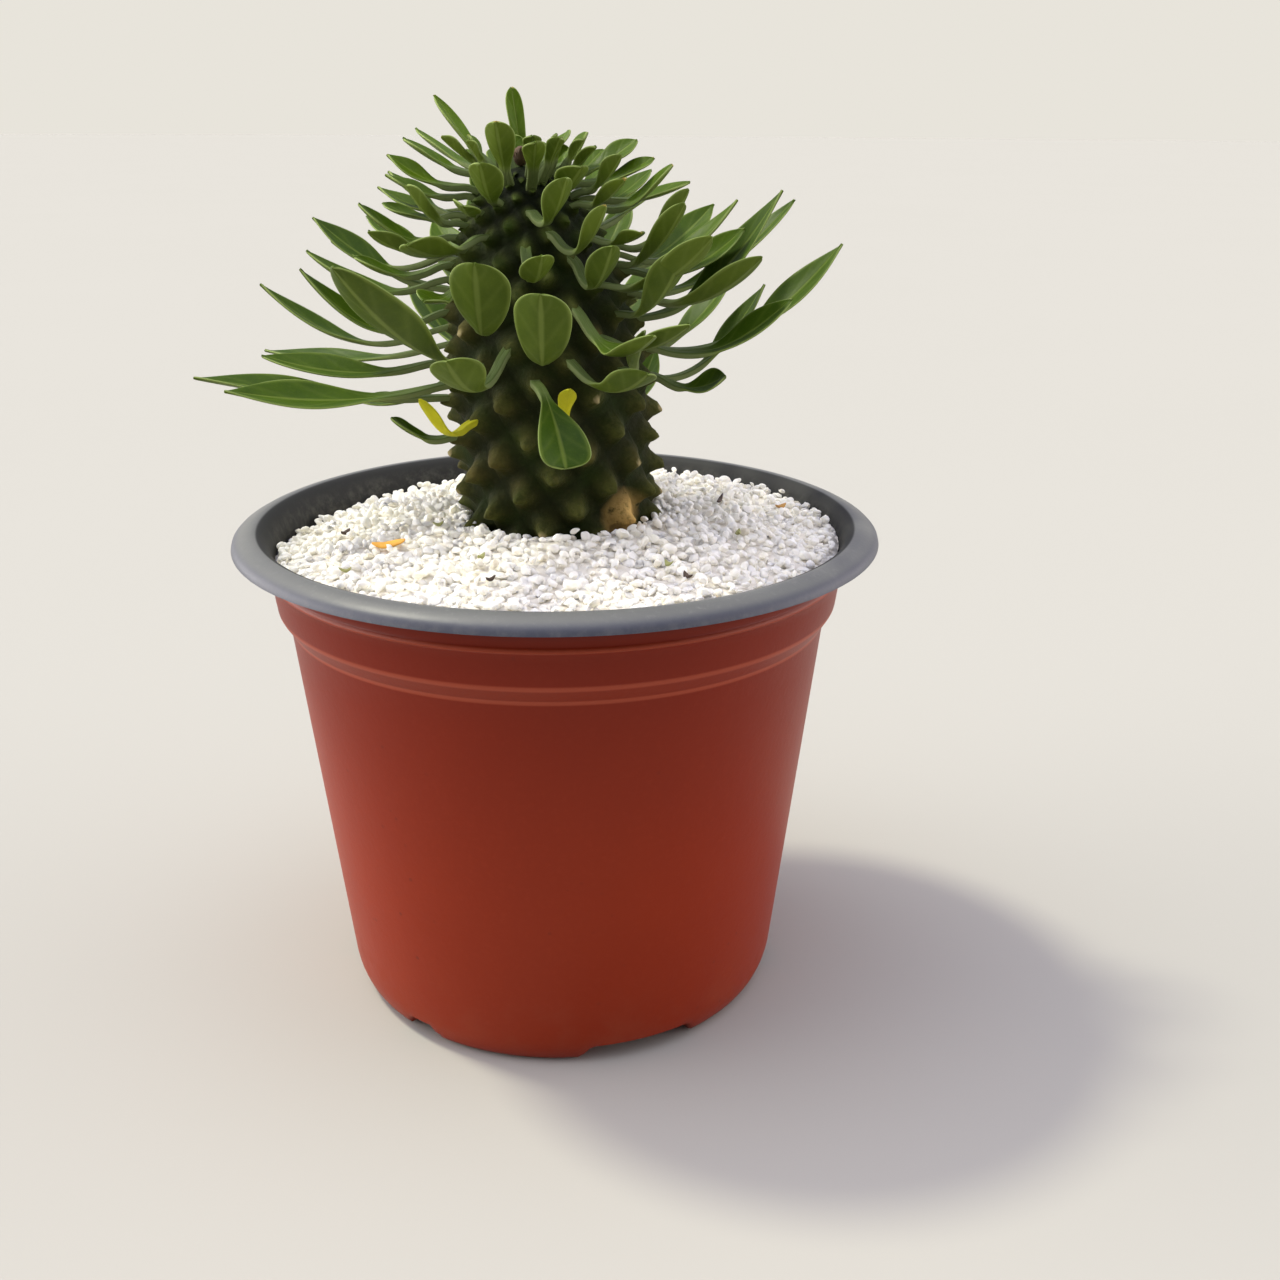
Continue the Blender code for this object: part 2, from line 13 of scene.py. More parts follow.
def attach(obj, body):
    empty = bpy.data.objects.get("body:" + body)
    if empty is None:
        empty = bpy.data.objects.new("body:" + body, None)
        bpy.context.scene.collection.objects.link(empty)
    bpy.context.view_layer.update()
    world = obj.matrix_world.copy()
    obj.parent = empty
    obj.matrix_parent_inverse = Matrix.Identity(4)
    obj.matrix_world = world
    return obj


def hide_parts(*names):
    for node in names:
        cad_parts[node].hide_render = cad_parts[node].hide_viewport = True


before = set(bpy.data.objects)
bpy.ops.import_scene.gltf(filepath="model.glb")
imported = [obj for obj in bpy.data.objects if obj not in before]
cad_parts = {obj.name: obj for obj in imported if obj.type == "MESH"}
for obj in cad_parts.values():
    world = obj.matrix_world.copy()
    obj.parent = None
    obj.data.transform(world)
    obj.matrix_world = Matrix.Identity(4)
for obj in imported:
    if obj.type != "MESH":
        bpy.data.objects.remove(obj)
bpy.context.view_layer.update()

MM = 0.001
FRONT = math.radians(-90)  # azimuths run anticlockwise from +X, seen from above


# ------------------------------------------------------------------ pot
# The pot is one sheet of plastic, terracotta on one face and grey on the other, vacuum-formed over
# a mould. Its rim is rolled outward, which turns the grey face up. A bead and a collar stiffen it,
# and three wide and three narrow channels under the floor let the water out between the feet.
SHEET = 0.9 * MM
POT_COLUMNS = 240
# Radius and height in mm of the terracotta face, from the rim's free edge down to the wall's top.
RIM_PROFILE = (
    (59.2, 90.2),
    (59.05, 90.75),
    (58.6, 91.2),
    (57.9, 91.6),
    (57.1, 91.95),
    (56.4, 92.15),
    (55.9, 92.15),
    (55.4, 91.95),
    (54.95, 91.5),
    (54.6, 90.9),
    (54.3, 90.2),
    (54.0, 89.4),
    (53.6, 88.0),
    (53.5, 86.3),
    (53.62, 86.05),
    (53.9, 85.8),
    (53.9, 85.4),
    (53.6, 85.15),
    (53.42, 84.9),
    (53.3, 83.5),
    (53.0, 81.0),
    (52.75, 79.2),
    (52.66, 78.8),
    (52.4, 78.3),
    (51.7, 77.2),
    (51.1, 76.3),
    (50.8, 75.9),
    (50.66, 75.5),
)
WALL_BANDS = 12
# The same for the rounded corner, the foot and the floor.
FOOT_PROFILE = (
    (42.9, 6.0),
    (42.7, 4.9),
    (42.45, 3.9),
    (42.1, 2.9),
    (41.7, 2.0),
    (41.2, 1.2),
    (40.6, 0.55),
    (39.9, 0.15),
    (39.2, 0.0),
    (36.5, 0.0),
    (33.0, 0.0),
    (29.0, 0.0),
    (27.0, 0.0),
    (24.5, 0.0),
    (22.0, 0.0),
    (12.0, 0.0),
    (3.0, 0.0),
)
CHANNEL_HEIGHT = 3.8 * MM
CHANNEL_INNER_RADIUS = 22.0 * MM
CHANNEL_RAMP = 5.0 * MM
# Start and end of each channel's full height, in degrees from the front.
WIDE_CHANNEL = (10, 35)
NARROW_CHANNEL = (-40, -35)
CHANNEL_FLANK = 4.5
DRAIN_RADIUS = 2.5 * MM
DRAIN_CIRCLE = 31.0 * MM


class Wire:
    """A shader output that arithmetic works on."""

    def __init__(self, tree, socket=None):
        self.tree = tree
        self.socket = socket

    def make(self, kind, settings=None, inputs=None, output=0):
        """Any shader node, from its type, its settings and what goes into its inputs."""
        node = self.tree.nodes.new("ShaderNode" + kind)
        for name, value in (settings or {}).items():
            setattr(node, name, value)
        for name, value in (inputs or {}).items():
            if isinstance(value, Wire):
                self.tree.links.new(value.socket, node.inputs[name])
            else:
                node.inputs[name].default_value = value
        return Wire(self.tree, node.outputs[output])

    def math(self, operation, first, second=0.0):
        return self.make("Math", {"operation": operation}, {0: first, 1: second})

    def __add__(self, other):
        return self.math("ADD", self, other)

    def __sub__(self, other):
        return self.math("SUBTRACT", self, other)

    def __rsub__(self, other):
        return self.math("SUBTRACT", other, self)

    def __mul__(self, other):
        return self.math("MULTIPLY", self, other)

    def __pow__(self, other):
        return self.math("POWER", self, other)

    __radd__ = __add__
    __rmul__ = __mul__

    def step(self, low, high):
        """0 below the low value, 1 above the high one and smooth between them."""
        inputs = {"Value": self, "From Min": low, "From Max": high}
        return self.make("MapRange", {"interpolation_type": "SMOOTHSTEP"}, inputs)

    def blend(self, first, second):
        """The first colour where this is 0 and the second where it is 1."""
        inputs = {0: self, 6: first, 7: second}
        return self.make("Mix", {"data_type": "RGBA"}, inputs, output=2)

    def noise(self, scale, detail=4.0, roughness=0.55, stretch=(1, 1, 1)):
        """Noise from 0 to 1 in the piece's own coordinates; scale is in patches per metre."""
        place = self.make("TexCoord", output=3)
        place = self.make("Mapping", {}, {"Vector": place, "Scale": stretch})
        inputs = {"Vector": place, "Scale": scale, "Detail": detail, "Roughness": roughness}
        return self.make("TexNoise", {}, inputs)

    def cells(self, scale, feature="F1"):
        """Distance to the nearest of many scattered points."""
        place = self.make("TexCoord", output=3)
        return self.make("TexVoronoi", {"feature": feature}, {"Vector": place, "Scale": scale})

    def place(self):
        """The piece's own coordinates, as three wires."""
        parted = self.make("SeparateXYZ", {}, {0: self.make("TexCoord", output=3)})
        outputs = parted.socket.node.outputs
        return [Wire(self.tree, socket) for socket in outputs]

    def attribute(self, name):
        """A number stored on the piece's points."""
        return self.make("Attribute", {"attribute_name": name}, output=2)


def rgb(red, green, blue):
    return (red, green, blue, 1.0)


def new_material(name):
    """A Principled material and a wire to start its nodes from."""
    made = bpy.data.materials.new(name)
    made.use_nodes = True
    return made, Wire(made.node_tree)


def surface(made, sockets, height=None, depth=0.1 * MM, strength=1.0):
    """Connect or set the shader's sockets, and bump it by a height that stands for a depth."""
    start = Wire(made.node_tree)
    shader = made.node_tree.nodes["Principled BSDF"]
    if height is not None:
        inputs = {"Height": height, "Distance": depth, "Strength": strength}
        sockets = dict(sockets, Normal=start.make("Bump", {}, inputs))
    for name, value in sockets.items():
        if isinstance(value, Wire):
            made.node_tree.links.new(value.socket, shader.inputs[name])
        else:
            shader.inputs[name].default_value = value


def deselect():
    """Leave nothing selected, so that the next operator works on its own piece."""
    bpy.ops.object.select_all(action="DESELECT")


def pick(piece):
    """Make one piece the only one that the next operator works on."""
    deselect()
    piece.select_set(True)
    bpy.context.view_layer.objects.active = piece


def settle(piece, name, *materials):
    """Name a finished piece, put its place into its mesh and give it its materials."""
    pick(piece)
    bpy.ops.object.transform_apply(location=True, rotation=True, scale=True)
    piece.name = name
    piece.data.name = name
    piece.data.materials.clear()
    for made in materials:
        piece.data.materials.append(made)


def channel_share(azimuth):
    """How much of the channel's height is reached at an azimuth, from 0 to 1."""
    turn = math.degrees(azimuth - FRONT)
    share = 0.0
    for start, end in (WIDE_CHANNEL, NARROW_CHANNEL):
        away = abs((turn - (start + end) / 2 + 60) % 120 - 60)
        near = min(1.0, max(0.0, 1.0 - (away - (end - start) / 2) / CHANNEL_FLANK))
        share = max(share, near * near * (3 - 2 * near))
    return share


terracotta, wire = new_material("pot_terracotta")
across, along, up = wire.place()
cloud = wire.noise(28, 3)
grain = wire.noise(900, 5, 0.65)
streaks = wire.noise(60, 4, 0.6, stretch=(1, 1, 0.18))
scuffs = wire.noise(170, 6, 0.7, stretch=(1, 1, 0.5)).step(0.66, 0.78)
specks = 1 - wire.cells(260).step(0.06, 0.13)
dust = (1 - up.step(0.0, 0.022)) * wire.noise(140, 5).step(0.42, 0.75)
colour = (0.25 + cloud * 0.5 + streaks * 0.25).blend(rgb(0.205, 0.014, 0.001), rgb(0.280, 0.024, 0.002))
colour = (grain.step(0.45, 0.8) * 0.2).blend(colour, rgb(0.34, 0.038, 0.010))
colour = (scuffs * 0.18).blend(colour, rgb(0.42, 0.09, 0.045))
colour = (specks * wire.noise(45, 2).step(0.5, 0.7) * 0.5).blend(colour, rgb(0.10, 0.014, 0.008))
colour = (dust * 0.08).blend(colour, rgb(0.42, 0.2, 0.12))
# Painted highlights: thin pale lines along the bead, the collar's ledge and the crease below it, and a
# faint pale band over the flare between them.
bead_highlight = 1 - (up - 0.0856).math("ABSOLUTE", up - 0.0856).step(0.0002, 0.0006)
ledge_highlight = 1 - (up - 0.0788).math("ABSOLUTE", up - 0.0788).step(0.0002, 0.0007)
crease_highlight = 1 - (up - 0.0757).math("ABSOLUTE", up - 0.0757).step(0.0002, 0.0006)
# Painted shade: the wall darkens towards the lip, standing for the lip's shade and less bounced light
# up there.
colour = (up.step(0.03, 0.088) * 0.45).blend(colour, rgb(0.090, 0.002, 0.0003))
# Painted shadow: a near-black band right under the rolled lip.
colour = (up.step(0.0865, 0.0900) * 0.8).blend(colour, rgb(0.030, 0.0005, 0.0001))
band = 1 - (up - 0.0773).math("ABSOLUTE", up - 0.0773).step(0.0006, 0.0018)
colour = ((bead_highlight + ledge_highlight + crease_highlight) * 0.4 + band * 0.12).blend(colour, rgb(0.50, 0.11, 0.055))
rough = 0.36 + cloud * 0.08 + grain * 0.05 + scuffs * 0.14 + dust * 0.2
height = grain * 0.5 + wire.noise(330, 3) * 0.5 + streaks * 0.6 + scuffs * 0.3
surface(
    terracotta,
    {"Base Color": colour, "Roughness": rough, "Specular IOR Level": 0.19},
    height,
    0.06 * MM,
)

grey, wire = new_material("pot_grey_face")
across, along, up = wire.place()
cloud = wire.noise(35, 3)
grain = wire.noise(1100, 5, 0.65)
scratches = wire.noise(260, 6, 0.75, stretch=(1, 1, 0.3)).step(0.64, 0.72)
powder = (1 - up.step(0.0895, 0.0925)) * wire.noise(420, 5, 0.7).step(0.40, 0.7)
colour = cloud.blend(rgb(0.110, 0.115, 0.113), rgb(0.158, 0.162, 0.153))
colour = (grain.step(0.5, 0.85) * 0.2).blend(colour, rgb(0.32, 0.32, 0.31))
colour = (scratches * 0.15).blend(colour, rgb(0.4, 0.39, 0.38))
inside = (across * across + along * along).math("SQRT", across * across + along * along)
# Painted shade: the outer, lower part of the rolled lip is painted a dark blue-grey.
edge = inside.step(0.0578, 0.0594) * (1 - up.step(0.0913, 0.0928))
# Painted shade: inside the lip's crest the grey wall is painted near black.
inside = 1 - inside.step(0.0553, 0.0558)
colour = (edge * 0.85).blend(colour, rgb(0.045, 0.050, 0.075))
colour = (inside * 0.95).blend(colour, rgb(0.012, 0.013, 0.012))
colour = (powder * 0.12).blend(colour, rgb(0.5, 0.48, 0.42))
rough = 0.36 + cloud * 0.1 + scratches * 0.15 + powder * 0.2 + inside * 0.3
height = grain * 0.5 + wire.noise(380, 3) * 0.6 + scratches * 0.3
surface(
    grey,
    {"Base Color": colour, "Roughness": rough, "Specular IOR Level": 0.35},
    height,
    0.05 * MM,
)

profile = list(RIM_PROFILE)
wall_top, wall_foot = RIM_PROFILE[-1], FOOT_PROFILE[0]
for band in range(1, WALL_BANDS):
    share = band / WALL_BANDS
    radius = wall_top[0] + (wall_foot[0] - wall_top[0]) * share
    profile.append((radius, wall_top[1] + (wall_foot[1] - wall_top[1]) * share))
profile.extend(FOOT_PROFILE)

deselect()
radius, height = profile[0]
bpy.ops.mesh.primitive_circle_add(
    vertices=POT_COLUMNS, radius=radius * MM, location=(0, 0, height * MM)
)
pot = bpy.context.object
bpy.ops.object.mode_set(mode="EDIT")
bpy.ops.mesh.select_all(action="SELECT")
for next_radius, next_height in profile[1:]:
    drop = (next_height - height) * MM
    spread = next_radius / radius
    bpy.ops.mesh.extrude_region_move(TRANSFORM_OT_translate={"value": (0, 0, drop)})
    bpy.ops.transform.resize(value=(spread, spread, 1))
    radius, height = next_radius, next_height
bpy.ops.mesh.merge(type="CENTER")
bpy.ops.object.mode_set(mode="OBJECT")
settle(pot, "pot_shell", terracotta, grey)
for vertex in pot.data.vertices:
    away = math.hypot(vertex.co.x, vertex.co.y)
    ramp = min(1.0, max(0.0, (away - CHANNEL_INNER_RADIUS) / CHANNEL_RAMP))
    lift = CHANNEL_HEIGHT * ramp * channel_share(math.atan2(vertex.co.y, vertex.co.x))
    vertex.co.z = max(vertex.co.z, lift)
wall_face = min(pot.data.polygons, key=lambda face: abs(face.center.z - 40 * MM))
if wall_face.normal.dot(Vector((wall_face.center.x, wall_face.center.y, 0))) < 0:
    pot.data.flip_normals()
pick(pot)
sheet = pot.modifiers.new("sheet", "SOLIDIFY")
sheet.thickness = SHEET
sheet.offset = -1
sheet.use_even_offset = True
sheet.material_offset = 1
sheet.material_offset_rim = 1
bpy.ops.object.modifier_apply(modifier="sheet")
for repeat in range(3):
    turn = FRONT + math.radians(sum(WIDE_CHANNEL) / 2 + 120 * repeat)
    place = (DRAIN_CIRCLE * math.cos(turn), DRAIN_CIRCLE * math.sin(turn), CHANNEL_HEIGHT)
    deselect()
    bpy.ops.mesh.primitive_cylinder_add(vertices=32, radius=DRAIN_RADIUS, depth=6 * MM, location=place)
    drill = bpy.context.object
    pick(pot)
    hole = pot.modifiers.new("drain hole", "BOOLEAN")
    hole.object = drill
    hole.solver = "EXACT"
    bpy.ops.object.modifier_apply(modifier="drain hole")
    bpy.data.objects.remove(drill)
pick(pot)
bpy.ops.object.shade_smooth_by_angle(angle=math.radians(50))
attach(pot, "root")
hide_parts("pot")


# ------------------------------------------------------------------ soil
# Dark, crumbly potting soil fills the pot. The grit hides all of it but what the drain holes show.
earth, wire = new_material("crumbly_soil")
crumbs = wire.cells(520)
clods = wire.noise(190, 6, 0.7)
colour = clods.blend(rgb(0.012, 0.008, 0.005), rgb(0.07, 0.042, 0.025))
colour = (wire.noise(700, 3).step(0.66, 0.72) * 0.6).blend(colour, rgb(0.22, 0.15, 0.09))
surface(
    earth,
    {"Base Color": colour, "Roughness": 0.88 + clods * 0.1},
    clods + crumbs * 0.8,
    0.9 * MM,
)
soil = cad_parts["soil"]
soil.data.materials.clear()
soil.data.materials.append(earth)


# ------------------------------------------------------------------ white grit
# A layer of crushed white stone, two to three millimetres to a grain, mounds up from the wall to the
# stem. It reaches the rim at the front and has slid away from the wall at the back left.
GRIT_FLOOR = 83.4 * MM
GRIT_EDGE = 90.4 * MM
GRIT_CENTRE = 94.8 * MM
GRIT_FRONT_RISE = 1.2 * MM
GRIT_SLUMP = 3.6 * MM
SLUMP_AZIMUTH = math.radians(155)
BED_DEPTH = 1.2 * MM  # the bed's top lies this far under the grains' tops
STONE_SPACING = 1.95 * MM
# Each layer: how deep it is sunk, its spacing over STONE_SPACING, and the share of stones kept.
STONE_LAYERS = (
    (1.5 * MM, 1.0, 1.0),
    (0.45 * MM, 1.0, 1.0),
    (-0.5 * MM, 1.6, 0.75),
)
STONE_SHAPES = 8
STONE_FACETS = 6
STEM_X = 0.8 * MM
STEM_HOLE = 19.5 * MM


def inner_wall(height):
    """Radius of the pot's grey face at the grit."""
    return (52.1 + (height / MM - 84) * 0.16) * MM


def grit_top(x, y):
    """Height of the grit's surface at a place."""
    azimuth = math.atan2(y, x)
    edge = GRIT_EDGE + GRIT_FRONT_RISE * max(0.0, -math.sin(azimuth))
    edge -= GRIT_SLUMP * max(0.0, math.cos(azimuth - SLUMP_AZIMUTH)) ** 2
    rim = inner_wall(edge)
    share = (rim - math.hypot(x, y)) / (rim - STEM_HOLE)
    share = min(1.0, max(0.0, share))
    return edge + (GRIT_CENTRE - edge) * share**0.7


white, wire = new_material("white_stone")
tone = wire.attribute("tone")
stain = wire.noise(160, 4)
pits = wire.noise(2400, 5, 0.7)
colour = tone.blend(rgb(0.94, 0.90, 0.78), rgb(0.99, 0.965, 0.88))
colour = (stain.step(0.55, 0.85) * 0.25).blend(colour, rgb(0.86, 0.79, 0.62))
colour = (tone.step(0.05, 0.01) * 0.5).blend(colour, rgb(0.42, 0.38, 0.28))
colour = (pits.step(0.62, 0.75) * 0.08).blend(colour, rgb(0.5, 0.46, 0.38))
surface(
    white,
    {
        "Base Color": colour,
        "Roughness": 0.62 + pits * 0.25,
        "Subsurface Weight": 0.75,
        "Subsurface Radius": (1.0, 0.95, 0.85),
        "Subsurface Scale": 1.2 * MM,
    },
    pits + wire.noise(900, 3) * 0.8,
    0.12 * MM,
)
bedding, wire = new_material("grit_in_the_shade")
crumbs = wire.cells(480)
colour = crumbs.blend(rgb(0.93, 0.90, 0.82), rgb(0.78, 0.74, 0.64))
colour = (wire.noise(210, 4).step(0.55, 0.7) * 0.3).blend(colour, rgb(0.45, 0.38, 0.26))
surface(bedding, {"Base Color": colour, "Roughness": 0.8 + crumbs * 0.15}, 1 - crumbs, 0.8 * MM)

deselect()
bpy.ops.mesh.primitive_circle_add(vertices=120, radius=50 * MM, location=(0, 0, GRIT_FLOOR))
bed = bpy.context.object
bpy.ops.object.mode_set(mode="EDIT")
bpy.ops.mesh.select_all(action="SELECT")
bpy.ops.mesh.extrude_region_move(TRANSFORM_OT_translate={"value": (0, 0, 1 * MM)})
for ring in range(14):
    bpy.ops.mesh.extrude_region_move(TRANSFORM_OT_translate={"value": (0, 0, 0.1 * MM)})
    bpy.ops.transform.resize(value=(0.932, 0.932, 1))
bpy.ops.mesh.extrude_region_move(TRANSFORM_OT_translate={"value": (0, 0, -2.4 * MM)})
bpy.ops.mesh.select_all(action="DESELECT")
bpy.ops.mesh.select_non_manifold()
bpy.ops.mesh.bridge_edge_loops()
bpy.ops.mesh.select_all(action="SELECT")
bpy.ops.mesh.normals_make_consistent(inside=False)
bpy.ops.object.mode_set(mode="OBJECT")
settle(bed, "grit_bed", bedding)
bumps = random.Random(5)
for vertex in bed.data.vertices:
    away = math.hypot(vertex.co.x, vertex.co.y)
    share = (away - 18.66 * MM) / (50 * MM - 18.66 * MM)
    azimuth = math.atan2(vertex.co.y, vertex.co.x)
    low = vertex.co.z < GRIT_FLOOR + 0.5 * MM
    away = 18.9 * MM + (inner_wall(GRIT_FLOOR if low else GRIT_EDGE) - 19.2 * MM) * share
    x = away * math.cos(azimuth) + STEM_X * (1 - share)
    y = away * math.sin(azimuth)
    height = GRIT_FLOOR if low else grit_top(x, y) - BED_DEPTH + bumps.uniform(-0.4, 0.4) * MM
    vertex.co = Vector((x, y, height))
bpy.ops.object.shade_smooth()
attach(bed, "root")
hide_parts("top_dressing")

# The grains: a few shapes of broken stone, each used many times at its own size, turn and tone.
stone_shapes = []
for number in range(STONE_SHAPES):
    chance = random.Random(40 + number)
    deselect()
    bpy.ops.mesh.primitive_ico_sphere_add(subdivisions=2, radius=1)
    stone = bpy.context.object
    bpy.ops.object.mode_set(mode="EDIT")
    for facet in range(STONE_FACETS):
        direction = Vector([chance.gauss(0, 1) for axis in range(3)]).normalized()
        bpy.ops.mesh.select_all(action="SELECT")
        bpy.ops.mesh.bisect(
            plane_co=direction * chance.uniform(0.55, 0.8),
            plane_no=direction,
            use_fill=True,
            clear_outer=True,
        )
    bpy.ops.mesh.select_all(action="SELECT")
    bpy.ops.mesh.remove_doubles(threshold=0.12)
    bpy.ops.mesh.normals_make_consistent(inside=False)
    bpy.ops.object.mode_set(mode="OBJECT")
    corners = [vertex.co.copy() for vertex in stone.data.vertices]
    facets = [tuple(face.vertices) for face in stone.data.polygons]
    stone_shapes.append((corners, facets))
    bpy.data.objects.remove(stone)


def lay_stones(name, made, places):
    """One mesh of many stones, each given as its place, half size in three directions and tone."""
    points = []
    faces = []
    tones = []
    for place, size, tone, chance in places:
        corners, facets = chance.choice(stone_shapes)
        turn = Matrix.Rotation(chance.uniform(0, math.tau), 3, "Z")
        tilt = Matrix.Rotation(chance.uniform(-0.9, 0.9), 3, "X")
        roll = Matrix.Rotation(chance.uniform(-0.9, 0.9), 3, "Y")
        pose = turn @ tilt @ roll @ Matrix.Diagonal(size)
        first = len(points)
        points.extend([place + pose @ corner for corner in corners])
        faces.extend([tuple(first + corner for corner in facet) for facet in facets])
        tones.extend([tone] * len(corners))
    mesh = bpy.data.meshes.new(name)
    mesh.from_pydata(points, [], faces)
    mesh.attributes.new("tone", "FLOAT", "POINT").data.foreach_set("value", tones)
    piece = bpy.data.objects.new(name, mesh)
    bpy.context.collection.objects.link(piece)
    mesh.materials.append(made)
    pick(piece)
    bpy.ops.object.shade_smooth_by_angle(angle=math.radians(32))
    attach(piece, "root")
    return piece


chance = random.Random(11)
quarters = ([], [], [], [])
for layer, (sink, spacing, kept) in enumerate(STONE_LAYERS):
    pitch = STONE_SPACING * spacing
    rows = int(54 * MM / (pitch * 0.866)) + 1
    for row in range(-rows, rows + 1):
        for column in range(-rows - 2, rows + 3):
            if chance.random() > kept:
                continue
            x = (column + 0.5 * (row % 2) + layer * 0.37) * pitch + chance.gauss(0, 0.22) * pitch
            y = (row + layer * 0.41) * pitch * 0.866 + chance.gauss(0, 0.22) * pitch
            half = chance.uniform(0.75, 1.4) * MM
            top = grit_top(x, y)
            if math.hypot(x, y) > inner_wall(top) - half * 0.85:
                continue
            if math.hypot(x - STEM_X, y) < 17.8 * MM:
                continue
            place = Vector((x, y, top - half * 0.55 - sink + chance.gauss(0, 0.3) * MM))
            size = (half, half * chance.uniform(0.5, 0.9), half * chance.uniform(0.45, 0.75))
            quarter = (x > 0) + 2 * (y > 0)
            quarters[quarter].append((place, size, chance.random(), chance))
for number, places in enumerate(quarters):
    lay_stones("grit_stones_%d" % (number + 1), white, places)


# ------------------------------------------------------------------ fallen bits
# Scraps that fell on the grit: dried leaf, bark chips and a sliver, all loose.
dried, wire = new_material("dried_scrap")
fibre = wire.noise(900, 5, 0.7, stretch=(1, 1, 0.3))
colour = fibre.blend(rgb(0.30, 0.13, 0.03), rgb(0.66, 0.38, 0.10))
surface(dried, {"Base Color": colour, "Roughness": 0.6 + fibre * 0.25}, fibre, 0.2 * MM)
orange_scrap, wire = new_material("orange_scrap")
fibre = wire.noise(500, 4, 0.6, stretch=(1, 1, 0.3))
colour = fibre.blend(rgb(0.60, 0.22, 0.02), rgb(0.85, 0.50, 0.06))
surface(orange_scrap, {"Base Color": colour, "Roughness": 0.5 + fibre * 0.2}, fibre, 0.15 * MM)
green_scrap, wire = new_material("green_scrap")
fibre = wire.noise(700, 4, 0.6)
colour = fibre.blend(rgb(0.20, 0.22, 0.06), rgb(0.42, 0.42, 0.18))
surface(green_scrap, {"Base Color": colour, "Roughness": 0.6 + fibre * 0.2}, fibre, 0.15 * MM)
dark_chip, wire = new_material("dark_chip")
fibre = wire.noise(1200, 5, 0.7)
colour = fibre.blend(rgb(0.02, 0.014, 0.01), rgb(0.11, 0.07, 0.045))
surface(dark_chip, {"Base Color": colour, "Roughness": 0.7 + fibre * 0.2}, fibre, 0.2 * MM)
SCRAPS = (
    # place x, y in mm, half length, half width, turn in degrees, material
    (-28.5, -21.5, 3.0, 1.25, 4, orange_scrap),
    (-21.0, -12.5, 1.0, 0.6, 15, green_scrap),
    (-34.0, -33.0, 1.1, 0.5, 5, green_scrap),
    (-11.5, -31.0, 1.0, 0.55, 60, green_scrap),
    (20.0, -33.0, 0.9, 0.5, 140, green_scrap),
    (33.0, -14.0, 1.0, 0.5, 80, green_scrap),
    (-38.5, -9.5, 1.2, 0.7, 60, dark_chip),
    (43.0, 9.0, 1.3, 0.8, 30, dried),
    (31.0, 8.5, 2.6, 0.45, 75, dark_chip),
    (23.0, -38.0, 1.3, 0.5, 120, dark_chip),
    (-9.0, -41.0, 1.0, 0.5, 40, dark_chip),
    (8.0, 38.0, 1.8, 0.7, 160, dried),
    (-20.0, 33.0, 1.4, 0.7, 20, dark_chip),
)
for number, (x, y, half, width, turn, made) in enumerate(SCRAPS):
    deselect()
    place = (x * MM, y * MM, grit_top(x * MM, y * MM) + 0.35 * MM)
    bpy.ops.mesh.primitive_uv_sphere_add(segments=14, ring_count=10, radius=1, location=place)
    scrap = bpy.context.object
    scrap.scale = (half * MM, width * MM, 0.35 * MM)
    scrap.rotation_euler = (0.25, -0.12, math.radians(turn))
    bpy.ops.object.transform_apply(location=False, rotation=False, scale=True)
    for vertex in scrap.data.vertices:
        bend = (vertex.co.x / (half * MM)) ** 2
        vertex.co.z += 0.7 * MM * bend - 0.15 * MM * math.sin(vertex.co.y * 2300 + vertex.co.x * 900)
        vertex.co.y *= 1.0 - 0.45 * bend
    settle(scrap, "fallen_bit_%d" % (number + 1), made)
    bpy.ops.object.shade_smooth()
    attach(scrap, "root")


# ------------------------------------------------------------------ stem
# The succulent column: a spiral of blunt tubercles, which line up in 8 rows one way and in 13 the
# other. Old tubercles end in a pale scar where a leaf fell, and the foot has corked over on one side.
STEM_LEAN = -6.4 * MM
STEM_FOOT = 88.5 * MM
STEM_BELLY = 114.0 * MM
STEM_TOP = 156.2 * MM
STEM_RADIUS = 19.0 * MM
STEM_FOOT_RADIUS = 18.2 * MM
GOLDEN_ANGLE = math.radians(137.508)
SPIRAL_STEP = 0.0250
VALLEY_DEPTH = 0.19
CROWN_RADIUS = 4.4 * MM
CORK_PLACE = (14.2 * MM, -12.8 * MM, 95.8 * MM)
CORK_RADIUS = 6.2 * MM
SCARRED_SHARE = 0.22
SCAR_RADIUS = 0.8 * MM
SCAR_TOP = 135.0 * MM
TUBERCLE_PUSH = 1.1 * MM
TUBERCLE_DROOP = 1.0 * MM
LUMP_SIZE = 1.0 * MM
FINE_LUMP_SIZE = 0.35 * MM


def stem_radius(height):
    """Radius over the tubercles at a height."""
    if height < STEM_BELLY:
        share = (STEM_BELLY - height) / (STEM_BELLY - STEM_FOOT)
        return STEM_RADIUS - (STEM_RADIUS - STEM_FOOT_RADIUS) * share**2
    share = min((height - STEM_BELLY) / (STEM_TOP - STEM_BELLY), 0.9999)
    return STEM_RADIUS * math.sqrt(1.0 - share**2)


def stem_slope(height):
    """Change of the stem's radius with height."""
    if height < STEM_BELLY:
        return 0.0
    share = min((height - STEM_BELLY) / (STEM_TOP - STEM_BELLY), 0.9999)
    return -STEM_RADIUS * share / math.sqrt(1.0 - share**2) / (STEM_TOP - STEM_BELLY)


def stem_centre(height):
    """X of the leaning stem's middle at a height."""
    share = max(0.0, (height - STEM_FOOT) / (STEM_TOP - STEM_FOOT))
    return STEM_X + STEM_LEAN * share**1.5


tubercles = [STEM_FOOT]
while stem_radius(tubercles[-1]) > CROWN_RADIUS:
    step = SPIRAL_STEP * stem_radius(tubercles[-1]) / math.hypot(1.0, stem_slope(tubercles[-1]))
    tubercles.append(tubercles[-1] + step)


